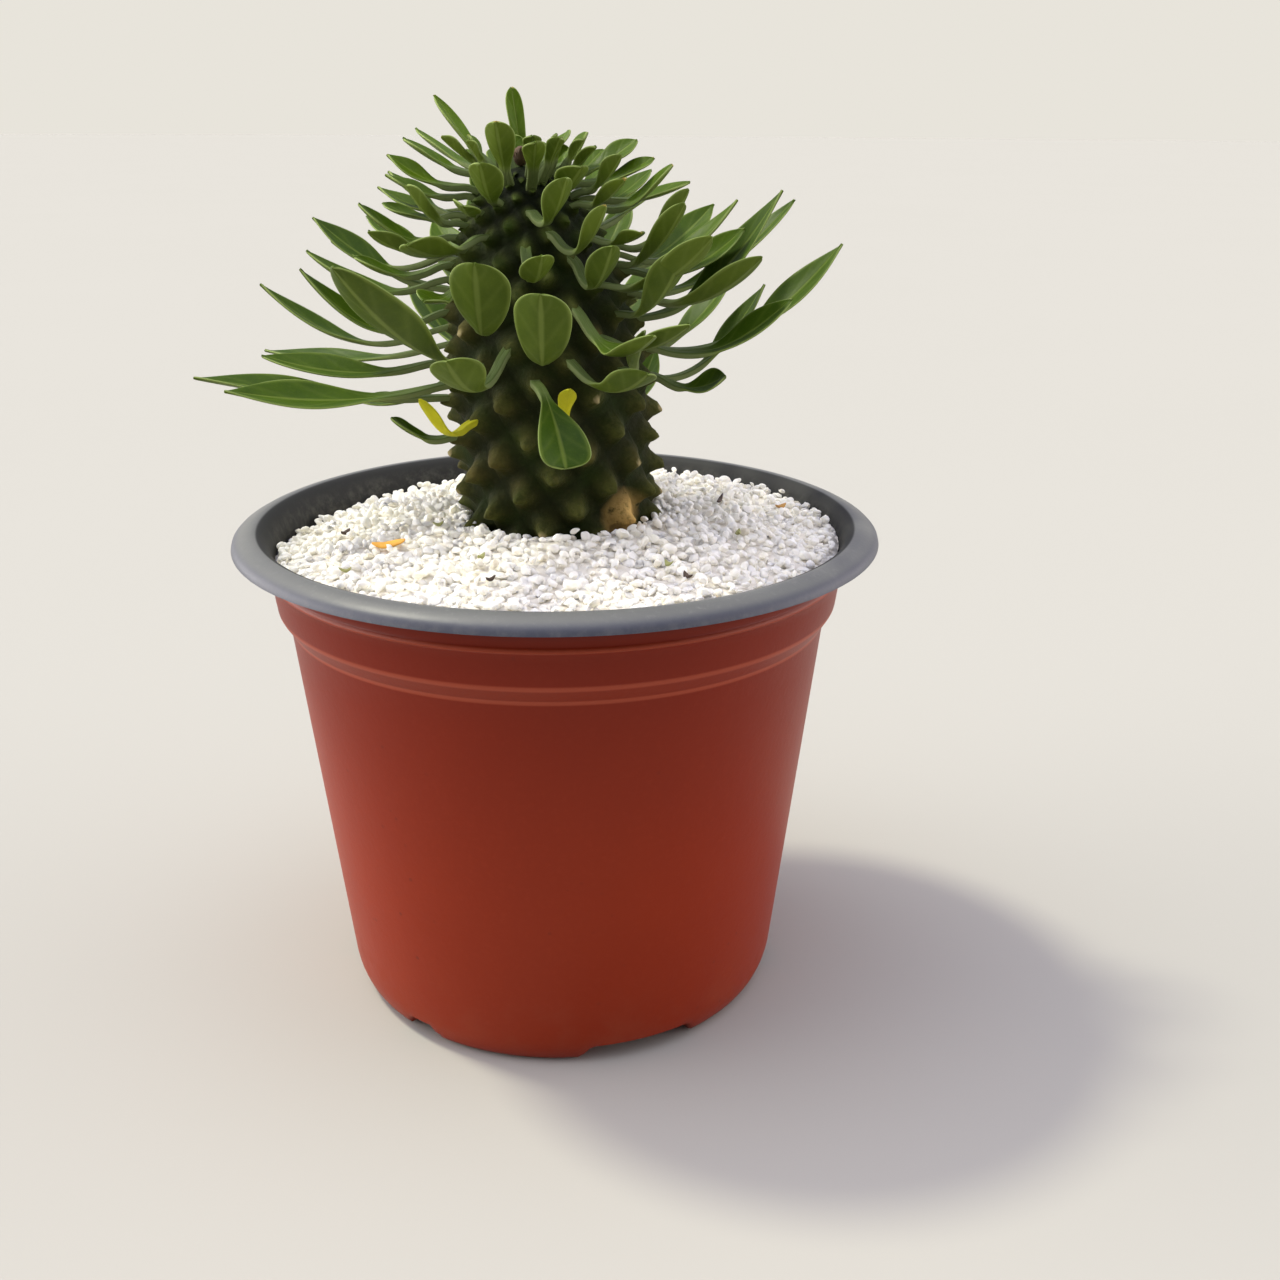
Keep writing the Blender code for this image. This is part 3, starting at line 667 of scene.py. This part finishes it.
def stem_point(number, depth):
    """A point at a tubercle's tip, or sunk below it by a share of the stem's radius."""
    height = min(tubercles[number], STEM_TOP - 0.1 * MM)
    slope = stem_slope(height)
    radius = stem_radius(height)
    length = math.hypot(1.0, slope)
    outward = radius - depth * radius / length
    turn = number * GOLDEN_ANGLE
    return Vector(
        (
            stem_centre(height) + outward * math.cos(turn),
            outward * math.sin(turn),
            height + depth * radius * slope / length,
        )
    )


skin, wire = new_material("tubercled_skin")
across, along, up = wire.place()
lift = wire.attribute("lift")
scar = wire.attribute("scar")
cork = wire.attribute("cork")
patches = wire.noise(140, 5, 0.6)
grain = wire.noise(1500, 5, 0.7)
# Painted shade: the valleys between the tubercles are near black; the lighter tips are partly the
# skin's own olive and partly painted light.
colour = lift.step(0.05, 1.0).blend(rgb(0.003, 0.005, 0.001), rgb(0.078, 0.082, 0.018))
mottle = wire.noise(330, 5, 0.75).step(0.40, 0.62)
colour = (mottle * 0.5).blend(colour, rgb(0.010, 0.016, 0.003))
colour = (patches.step(0.42, 0.75) * 0.35).blend(colour, rgb(0.022, 0.045, 0.006))
rusty = wire.noise(90, 3).step(0.5, 0.75) * lift.step(0.2, 0.9) * 0.5
colour = rusty.blend(colour, rgb(0.125, 0.088, 0.028))
greener = up.step(0.125, 0.150) * lift.step(0.1, 0.9) * 0.6
colour = greener.blend(colour, rgb(0.045, 0.085, 0.010))
colour = (grain.step(0.5, 0.8) * lift * 0.35).blend(colour, rgb(0.12, 0.11, 0.045))
colour = (cork * wire.noise(260, 4, 0.7).step(0.28, 0.46)).blend(colour, rgb(0.52, 0.34, 0.11))
colour = (scar * (0.5 + patches)).blend(colour, rgb(0.36, 0.30, 0.15))
rough = 0.6 + patches * 0.16 + scar * 0.2 + cork * 0.1
height = grain * 0.4 + wire.noise(520, 4, 0.6) * 0.9 + cork * patches * 1.5
surface(
    skin,
    {"Base Color": colour, "Roughness": rough, "Specular IOR Level": 0.08},
    height,
    0.5 * MM,
)

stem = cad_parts["stem"].copy()
stem.data = stem.data.copy()
stem.parent = None
for key in list(stem.keys()):
    del stem[key]
bpy.context.collection.objects.link(stem)
settle(stem, "tubercled_stem", skin)
bpy.ops.object.mode_set(mode="EDIT")
bpy.ops.mesh.select_all(action="SELECT")
bpy.ops.mesh.remove_doubles(threshold=0.01 * MM)
bpy.ops.mesh.tris_convert_to_quads(face_threshold=math.radians(60), shape_threshold=math.radians(60))
bpy.ops.mesh.normals_make_consistent(inside=False)
bpy.ops.object.mode_set(mode="OBJECT")
rounding = stem.modifiers.new("rounding", "SUBSURF")
rounding.levels = 2
rounding.render_levels = 2
bpy.ops.object.modifier_apply(modifier="rounding")
bpy.ops.object.shade_smooth()
tips = kdtree.KDTree(len(tubercles))
for number in range(len(tubercles)):
    tips.insert(stem_point(number, 0.02), number)
tips.balance()
chance = random.Random(3)
scarred = [chance.random() < SCARRED_SHARE for number in tubercles]
lifts = []
scars = []
corks = []
for vertex in stem.data.vertices:
    height = vertex.co.z
    centre = Vector((stem_centre(height), 0.0, height))
    away = (vertex.co - centre).length
    sunk = (stem_radius(height) - away) / stem_radius(height)
    lift = min(1.0, max(0.0, 1.0 - sunk / VALLEY_DEPTH))
    near, number, distance = tips.find(vertex.co)
    if lift > 0.3:
        vertex.co += (near - centre).normalized() * TUBERCLE_PUSH * lift
        vertex.co.z -= TUBERCLE_DROOP * lift**2
        lump = LUMP_SIZE * noise.noise(vertex.co * 380)
        lump += FINE_LUMP_SIZE * noise.noise(vertex.co * 1100)
        vertex.co += (vertex.co - centre).normalized() * lump
    lifts.append(lift)
    reach = 1.0 - distance / SCAR_RADIUS
    scars.append(max(0.0, min(1.0, reach * 2.2)) if scarred[number] and height < SCAR_TOP else 0.0)
    spread = (vertex.co - Vector(CORK_PLACE)).length / CORK_RADIUS
    corks.append(max(0.0, min(1.0, 1.6 - spread * 1.6)))
for name, values in (("lift", lifts), ("scar", scars), ("cork", corks)):
    stem.data.attributes.new(name, "FLOAT", "POINT").data.foreach_set("value", values)
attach(stem, "root")
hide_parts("stem")


# ------------------------------------------------------------------ dry bud
# A dried flower stub sits on the crown: a small core in overlapping brown scales.
BUD_RADIUS = 1.7 * MM
BUD_HEIGHT = 3.4 * MM
brown, wire = new_material("dry_bud_scale")
fibre = wire.noise(1300, 5, 0.7, stretch=(1, 1, 0.35))
colour = fibre.blend(rgb(0.030, 0.016, 0.008), rgb(0.17, 0.095, 0.045))
surface(brown, {"Base Color": colour, "Roughness": 0.65 + fibre * 0.2}, fibre, 0.25 * MM)
bud_base = Vector((stem_centre(STEM_TOP), 0.0, STEM_TOP))
deselect()
bud_middle = bud_base + Vector((0, 0, 1.2 * MM))
bpy.ops.mesh.primitive_uv_sphere_add(segments=16, ring_count=12, radius=1, location=bud_middle)
bud = bpy.context.object
bud.scale = (BUD_RADIUS * 0.75, BUD_RADIUS * 0.75, BUD_HEIGHT * 0.5)
settle(bud, "bud_core", brown)
bpy.ops.object.shade_smooth()
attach(bud, "root")
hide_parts("crown_bud")
for number in range(9):
    deselect()
    bpy.ops.mesh.primitive_uv_sphere_add(segments=12, ring_count=10, radius=1)
    scale = bpy.context.object
    for vertex in scale.data.vertices:
        share = (vertex.co.z + 1) / 2
        narrow = 1.0 - 0.75 * share**2
        vertex.co = Vector(
            (
                vertex.co.x * 0.32 * MM + 0.9 * MM * share**2,
                vertex.co.y * 0.8 * MM * narrow,
                share * BUD_HEIGHT * (0.85 - 0.05 * number),
            )
        )
    scale.rotation_euler = (0, 0, number * GOLDEN_ANGLE)
    outward = Vector(((1.15 - 0.08 * number) * MM, 0, 0.2 * MM))
    scale.location = bud_base + Matrix.Rotation(number * GOLDEN_ANGLE, 3, "Z") @ outward
    settle(scale, "bud_scale_%d" % (number + 1), brown)
    bpy.ops.object.shade_smooth()
    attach(scale, "root")


# ------------------------------------------------------------------ leaves
# Each leaf grows from the tip of a tubercle on a pale strap of a stalk, dips and turns up again into
# a fleshy blade that is folded along its midrib. The two lowest at the front have yellowed.
STALK_WIDTH = 1.9 * MM
LEAF_STANDOFF = 0.7 * MM
LEAF_THICKNESS = 1.1 * MM
BLADE_FOLD = 0.16
LEAF_ROWS = 30
LEAF_COLUMNS = 8
YELLOW_LEAVES = (2, 3)
# Leaves with a blade of their own: its widest place as a share, and the power that rounds its end.
BLUNT_LEAVES = {
    9: (0.88, 0.22),
    12: (0.6, 0.6),
    21: (0.84, 0.5),
    24: (0.82, 0.5),
    48: (0.72, 0.5),
    49: (0.75, 0.5),
}
WILD_SEED = 900
WILD_SHARE = 0.78
WILD_LOWEST = 64
CROWN_TUBERCLE = 164
# Each leaf: the tubercle that bears it, degrees it turns aside, reach and rise of its tip in mm,
# dip of its middle in mm, blade width in mm, petiole's share of its length, degrees of roll.
# Most rows here and in SMALL_LEAVES were solved by a separate program, then rounded; some were
# changed by hand.
LEAVES = (
    (45, 0, 32, 8, 6, 8, 0.35, 0),
    (54, -5, 10, 5, 4, 4.5, 0.25, 5),
    (57, 10, 5, 6, 0.5, 3.2, 0.2, 0),
    (59, 0, 43, 5, 1.5, 8.5, 0.22, -15),
    (61, 5, 30, 10, 6, 8, 0.35, 0),
    (63, 0, 24, 16, 6, 6.5, 0.45, 0),
    (67, -10, 39, 1, 2.5, 8.5, 0.25, -20),
    (68, -5, 13, 0, 2.5, 7.5, 0.35, 20),
    (70, 25, 17, -11, -3, 9, 0.35, -10),
    (71, -5, 28, 14, 5, 7.5, 0.35, 0),
    (72, 5, 32, 1, 3, 9, 0.25, -20),
    (75, 5, 33, 19, 4, 10.5, 0.18, 5),
    (76, 0, 36, 18, 7, 8, 0.45, 10),
    (77, 10, 45, -5, 3, 7, 0.3, -5),
    (78, 30, 18, 0, 4, 9, 0.25, -15),
    (81, 15, 26, 8, 5, 8, 0.4, 20),
    (83, -10, 18, 0, 6, 9.5, 0.4, 15),
    (85, 0, 36, 6, 7, 6.5, 0.35, 5),
    (87, 10, 26, 12, 5, 7.5, 0.35, 0),
    (89, 0, 24, 22, 5, 8.5, 0.25, 30),
    (91, 0, 17, 7, 8.5, 9.6, 0.3, -5),
    (93, 0, 24, 7, 7, 7, 0.35, -10),
    (94, -5, 13, 11, 4, 9, 0.2, 0),
    (96, 30, 14, 9, 7, 10.4, 0.26, -12),
    (97, 5, 33, 16, 5, 7.5, 0.25, 10),
    (99, 15, 21, -3, 5.5, 8, 0.25, 10),
    (102, 0, 23, 6, 5, 9, 0.3, -30),
    (106, 0, 25, 4, 5, 7, 0.3, -10),
    (113, 5, 18, 9, 4, 6.5, 0.35, 0),
    (115, -5, 14, 10, 4, 7.5, 0.3, 0),
    (118, -5, 25, 8, 6, 6.5, 0.4, 5),
    (119, -5, 26, 0, 4.5, 6, 0.4, 0),
    (120, 5, 11, 2, 6, 7, 0.45, 5),
    (123, 0, 13, 9, 4.5, 7, 0.4, -20),
    (125, 20, 11, -1, 5, 6.5, 0.4, 5),
    (127, 0, 16, 5, 3.5, 5.5, 0.35, -15),
    (130, -5, 17, -1, 2.5, 8, 0.3, 25),
    (133, 40, 11, 4, 5.5, 6.5, 0.45, 0),
    (135, -5, 9, 6, 2.5, 6, 0.35, 20),
    (137, -5, 14, 8, 3, 5.5, 0.35, 0),
    (144, 0, 14, 7, 3, 5.5, 0.35, 20),
    (146, 30, 11, 5, 4.5, 6.5, 0.45, 10),
    (149, -5, 10, 4, 2, 7, 0.35, 5),
    (151, 15, 8, 6, 2, 6.5, 0.2, -10),
    (152, 0, 21, 2, 2, 5.5, 0.4, 5),
    (153, 15, 16, 3, 2, 5, 0.35, -10),
    (161, 0, 15, 5, 2, 5, 0.35, -20),
    (163, 20, 6, 16, 0, 3.3, 0.2, 0),
    (172, 5, 5, 9, 0.5, 5.5, 0.15, -5),
    (173, -15, 14, 6, 1.5, 5.5, 0.3, 20),
    (174, 0, 15, 6, 1.5, 5, 0.35, -10),
    (179, 5, 22, 7, 2, 4.5, 0.35, 10),
    (186, 15, 7, 6, 1.5, 5, 0.3, 5),
    (187, -5, 13, 12, 1.5, 5, 0.3, 5),
)

# Leaves too small or too hidden for the frame, in the same terms.
SMALL_LEAVES = (
    (46, -5, 11, 4, 2, 4.5, 0.4, -15),
    (64, 0, 22, -6, 3, 7, 0.35, -10),
    (73, -35, 12, 8, 3, 6, 0.5, 50),
    (86, 10, 20, 4, 3, 6.5, 0.35, -10),
    (107, 25, 20, 8, 4, 8, 0.25, -20),
    (109, 10, 12, -3, 1.5, 6.5, 0.45, -15),
    (110, -15, 21, 7, 4, 7, 0.3, 25),
    (114, 0, 16, 1, 3, 6, 0.4, -20),
    (122, -10, 16, 3, 2.5, 5.5, 0.35, 20),
    (128, 0, 11, 1, 1.5, 5.5, 0.4, -10),
    (140, -5, 15, 1, 2, 5, 0.35, -10),
    (143, 35, 7, 1, 1, 5.5, 0.35, -15),
    (145, 15, 23, 2, 3, 5, 0.35, -5),
    (154, 20, 8, 5, 1.5, 7, 0.35, -5),
    (157, -10, 8, 6, 2, 6, 0.35, -5),
    (165, 5, 15, 4, 1.5, 5, 0.35, 15),
    (181, -5, 7, 3, 0.5, 4.5, 0.35, 0),
    (189, -5, 13, 6, 1, 5, 0.3, -20),
    (190, -10, 9, 5, 1, 4.5, 0.35, 15),
)


def leaf_colours(name, dark, light, stalk_colour, vein_colour, sheen):
    """Leaf skin: a blade with a midrib and side veins, which runs into a paler stalk."""
    made, wire = new_material(name)
    uv = wire.make("UVMap")
    along = wire.make("SeparateXYZ", {}, {0: uv})
    across = Wire(along.tree, along.socket.node.outputs[1])
    off = (across - 0.5).math("ABSOLUTE", across - 0.5) * 2.0
    stalk = wire.attribute("stalk")
    tone = wire.attribute("tone")
    aged = wire.attribute("aged")
    mottle = wire.noise(330, 5, 0.6)
    fine = wire.noise(2200, 4, 0.7)
    midrib = 1 - off.step(0.03, 0.14)
    waves = ((along * 34 + off * -7).math("SINE", (along * 34 + off * -7)) * 0.5 + 0.5) ** 6
    colour = (tone * 0.75 + mottle * 0.5 - 0.12).blend(dark, light)
    colour = (waves * 0.12).blend(colour, vein_colour)
    colour = (fine.step(0.5, 0.85) * 0.2).blend(colour, vein_colour)
    colour = (off.step(0.80, 0.98) * 0.55).blend(colour, vein_colour)
    colour = (midrib * 0.55).blend(colour, vein_colour)
    colour = stalk.blend(colour, stalk_colour)
    colour = (aged * (0.55 + mottle * 0.6)).blend(colour, rgb(0.52, 0.50, 0.015))
    tip = along.step(0.94, 0.995) * tone.step(0.82, 0.9)
    colour = (tip * 0.8).blend(colour, rgb(0.40, 0.27, 0.06))
    rough = sheen + mottle * 0.12 + stalk * 0.1
    height = mottle * 0.5 + fine * 0.25 - waves * 0.2 - midrib * 0.5
    surface(
        made,
        {"Base Color": colour, "Roughness": rough, "Specular IOR Level": 0.11},
        height,
        0.12 * MM,
    )
    return made


upper = leaf_colours(
    "leaf_upper_side",
    rgb(0.011, 0.036, 0.002),
    rgb(0.085, 0.152, 0.003),
    rgb(0.09, 0.130, 0.035),
    rgb(0.16, 0.22, 0.035),
    0.34,
)
under = leaf_colours(
    "leaf_underside",
    rgb(0.026, 0.050, 0.004),
    rgb(0.120, 0.172, 0.016),
    rgb(0.125, 0.155, 0.055),
    rgb(0.18, 0.235, 0.05),
    0.46,
)
margin = leaf_colours(
    "leaf_margin",
    rgb(0.12, 0.18, 0.035),
    rgb(0.22, 0.30, 0.06),
    rgb(0.15, 0.19, 0.07),
    rgb(0.24, 0.31, 0.09),
    0.43,
)


def leaf_width(share, width, neck, length, end):
    """Width along a leaf: a strap, then a blade that is blunt when short and pointed when long."""
    slim = min(1.0, max(0.0, (length / width - 1.95) / 1.7))
    widest, power = end or (0.76 - 0.20 * slim, 0.5 + 0.55 * slim)
    along = (share - neck) / (1.0 - neck)
    if along <= 0:
        return STALK_WIDTH
    if along < widest:
        swell = along / widest
        return STALK_WIDTH + (width - STALK_WIDTH) * swell * swell * (3 - 2 * swell)
    past = (along - widest) / (1 - widest)
    return width * max(0.0, 1 - past * past) ** power


def wild_leaves(taken):
    """Rows for the back and the crown: each leaf is as long as its height on the stem makes it."""
    rows = []
    for number in range(WILD_LOWEST, len(tubercles) - 1):
        chance = random.Random(WILD_SEED + number)
        turn = math.degrees(number * GOLDEN_ANGLE) % 360
        if number in taken or not (15 < turn < 165 or number > CROWN_TUBERCLE):
            continue
        if chance.random() > WILD_SHARE:
            continue
        young = (number - 60) / (len(tubercles) - 60)
        reach = 36 * (1 - young) ** 1.15 + (1 if number > CROWN_TUBERCLE else 3)
        rise = reach * chance.uniform(0.2, 0.4) + 5 * young
        dip = reach * chance.uniform(0.12, 0.18) * (1 - young)
        width = 3 + reach * chance.uniform(0.12, 0.16)
        aside = chance.uniform(-12, 12)
        roll = chance.uniform(-25, 25)
        rows.append((number, aside, reach, rise, dip, width, 0.35, roll))
    return rows


deselect()
bpy.ops.mesh.primitive_grid_add(x_subdivisions=LEAF_ROWS, y_subdivisions=LEAF_COLUMNS, size=1)
strip = bpy.context.object
taken = {row[0] for row in LEAVES + SMALL_LEAVES}
all_leaves = list(LEAVES) + list(SMALL_LEAVES) + wild_leaves(taken)
for number, row in enumerate(all_leaves):
    tubercle, aside, reach, rise, dip, width, neck, roll = row
    chance = random.Random(200 + number)
    name = "leaf_%02d" % (number + 1)
    leaf = strip.copy()
    leaf.data = strip.data.copy()
    bpy.context.collection.objects.link(leaf)
    slope = -LEAF_STANDOFF / stem_radius(tubercles[tubercle])
    base = stem_point(tubercle, slope)
    inward = (stem_point(tubercle, 0.1) - base).normalized()
    heading = tubercle * GOLDEN_ANGLE + math.radians(aside)
    ahead = Vector((math.cos(heading), math.sin(heading), 0.0))
    length = math.hypot(reach, rise) * MM
    wave = chance.uniform(0, math.tau)
    twist = chance.uniform(-9, 9)
    stalks = []
    weights = []
    for vertex in leaf.data.vertices:
        place = vertex.co.x + 0.5
        aside_share = -2 * vertex.co.y
        share = place / 0.72 * 0.86
        if place > 0.72:
            share = 0.86 + 0.14 * math.sin((place - 0.72) / 0.28 * math.pi / 2)
        sag = dip * 4.0 * share * (1.0 - share)
        middle = base + (ahead * reach * share + Vector((0, 0, rise * share - sag))) * MM
        if share < 0.12:
            middle += inward * 1.9 * MM * (1 - share / 0.12) ** 2
        along = ahead * reach + Vector((0, 0, rise - dip * 4.0 * (1.0 - 2.0 * share)))
        along.normalize()
        side = along.cross(Vector((0, 0, 1))).normalized()
        turned = math.radians(roll) * min(1.0, share / neck) + math.radians(twist) * share
        side = Matrix.Rotation(turned, 3, along) @ side
        normal = side.cross(along)
        wide = leaf_width(share, width * MM, neck, length, BLUNT_LEAVES.get(number + 1))
        blade = min(1.0, max(0.0, (share - neck + 0.04) / 0.2))
        blade = blade * blade * (3 - 2 * blade)
        fold = wide * BLADE_FOLD * 1.1 * abs(aside_share) ** 1.3 * blade
        ripple = 0.25 * MM * math.sin(share * 9 + wave + 1.3 * aside_share) * abs(aside_share) * blade
        vertex.co = middle + side * wide / 2 * aside_share + normal * (fold + ripple)
        stalks.append(1.0 - blade)
        weights.append(1.0 - blade * (0.42 + 0.25 * abs(aside_share)))
    data = leaf.data.attributes
    data.new("stalk", "FLOAT", "POINT").data.foreach_set("value", stalks)
    young = (base.z - 100 * MM) / (56 * MM)
    tone = min(1.0, max(0.0, 0.4 * chance.random() + 0.6 * young))
    data.new("tone", "FLOAT", "POINT").data.foreach_set("value", [tone] * len(stalks))
    age = 1.0 if number + 1 in YELLOW_LEAVES else 0.0
    data.new("aged", "FLOAT", "POINT").data.foreach_set("value", [age] * len(stalks))
    flesh = leaf.vertex_groups.new(name="flesh")
    for vertex, weight in zip(leaf.data.vertices, weights):
        flesh.add([vertex.index], weight, "REPLACE")
    settle(leaf, name + "_blade", upper, under, margin)
    bpy.ops.object.mode_set(mode="EDIT")
    bpy.ops.mesh.select_all(action="SELECT")
    bpy.ops.mesh.remove_doubles(threshold=0.01 * MM)
    bpy.ops.object.mode_set(mode="OBJECT")
    thickness = leaf.modifiers.new("thickness", "SOLIDIFY")
    thickness.thickness = LEAF_THICKNESS
    thickness.offset = 0
    thickness.vertex_group = "flesh"
    thickness.material_offset = 1
    thickness.material_offset_rim = 2
    bpy.ops.object.modifier_apply(modifier="thickness")
    rounding = leaf.modifiers.new("rounding", "SUBSURF")
    rounding.levels = 1
    rounding.render_levels = 1
    bpy.ops.object.modifier_apply(modifier="rounding")
    bpy.ops.object.shade_smooth()
    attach(leaf, "root")
    if number < len(LEAVES):
        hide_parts(name)
bpy.data.objects.remove(strip)


# ------------------------------------------------------------------ floor, light and camera
# A plain pale floor under a soft sky, with one soft sun from behind on the left.
paper, wire = new_material("pale_floor")
fibre = wire.noise(3, 2)
colour = fibre.blend(rgb(0.428, 0.422, 0.382), rgb(0.436, 0.430, 0.390))
surface(paper, {"Base Color": colour, "Roughness": 0.95, "Specular IOR Level": 0.0})
deselect()
bpy.ops.mesh.primitive_circle_add(vertices=96, radius=14, fill_type="NGON", location=(0, 0, -0.0001))
floor = bpy.context.object
settle(floor, "floor", paper)

world = bpy.data.worlds.new("studio")
bpy.context.scene.world = world
world.use_nodes = True
sky = Wire(world.node_tree)
direction = sky.make("SeparateXYZ", {}, {0: sky.make("TexCoord", output=0)})
level = Wire(world.node_tree, direction.socket.node.outputs[2])
depth = Wire(world.node_tree, direction.socket.node.outputs[1])
sideways = Wire(world.node_tree, direction.socket.node.outputs[0])
overhead = rgb(0.51, 0.51, 0.65)
backdrop = rgb(0.806, 0.776, 0.708)
colour = level.step(0.45, 0.12).blend(overhead, backdrop)
beside = (sideways * sideways).step(0.3, 0.85) * (1 - level.step(0.3, 0.8))
flanks = sideways.step(-0.2, 0.2).blend(rgb(7.0, 6.7, 6.6), rgb(4.2, 3.9, 3.9))
colour = (beside * 0.9).blend(colour, flanks)
behind = depth.step(-0.1, -0.7) * (1 - level.step(0.35, 0.75))
colour = (behind * 0.9).blend(colour, rgb(0.08, 0.08, 0.09))
softbox = (depth * -0.14 + sideways * -0.1 + level * 0.985).step(0.74, 0.97)
colour = softbox.blend(colour, rgb(1.90, 1.87, 2.2))
background = world.node_tree.nodes["Background"]
world.node_tree.links.new(colour.socket, background.inputs["Color"])
background.inputs["Strength"].default_value = 1.0

sun_data = bpy.data.lights.new("sun", "SUN")
sun_data.energy = 2.24
sun_data.angle = math.radians(8)
sun_data.color = (1.0, 0.97, 0.78)
sun = bpy.data.objects.new("sun", sun_data)
sun.rotation_mode = "QUATERNION"
sun.rotation_quaternion = Vector((50, -21, -92)).to_track_quat("-Z", "Y")
bpy.context.collection.objects.link(sun)

camera_data = bpy.data.cameras.new("camera")
camera_data.lens = 39.90
camera_data.sensor_width = 36
camera_data.clip_end = 50
camera = bpy.data.objects.new("camera", camera_data)
camera.matrix_world = (
    Matrix.Translation((0.01361, -0.26021, 0.16372))
    @ Matrix.Rotation(math.radians(-0.44), 4, "Z")
    @ Matrix.Rotation(math.radians(90 - 20.20), 4, "X")
    @ Matrix.Rotation(math.radians(0.34), 4, "Z")
)
bpy.context.collection.objects.link(camera)
bpy.context.scene.camera = camera
bpy.context.scene.view_settings.view_transform = "Standard"
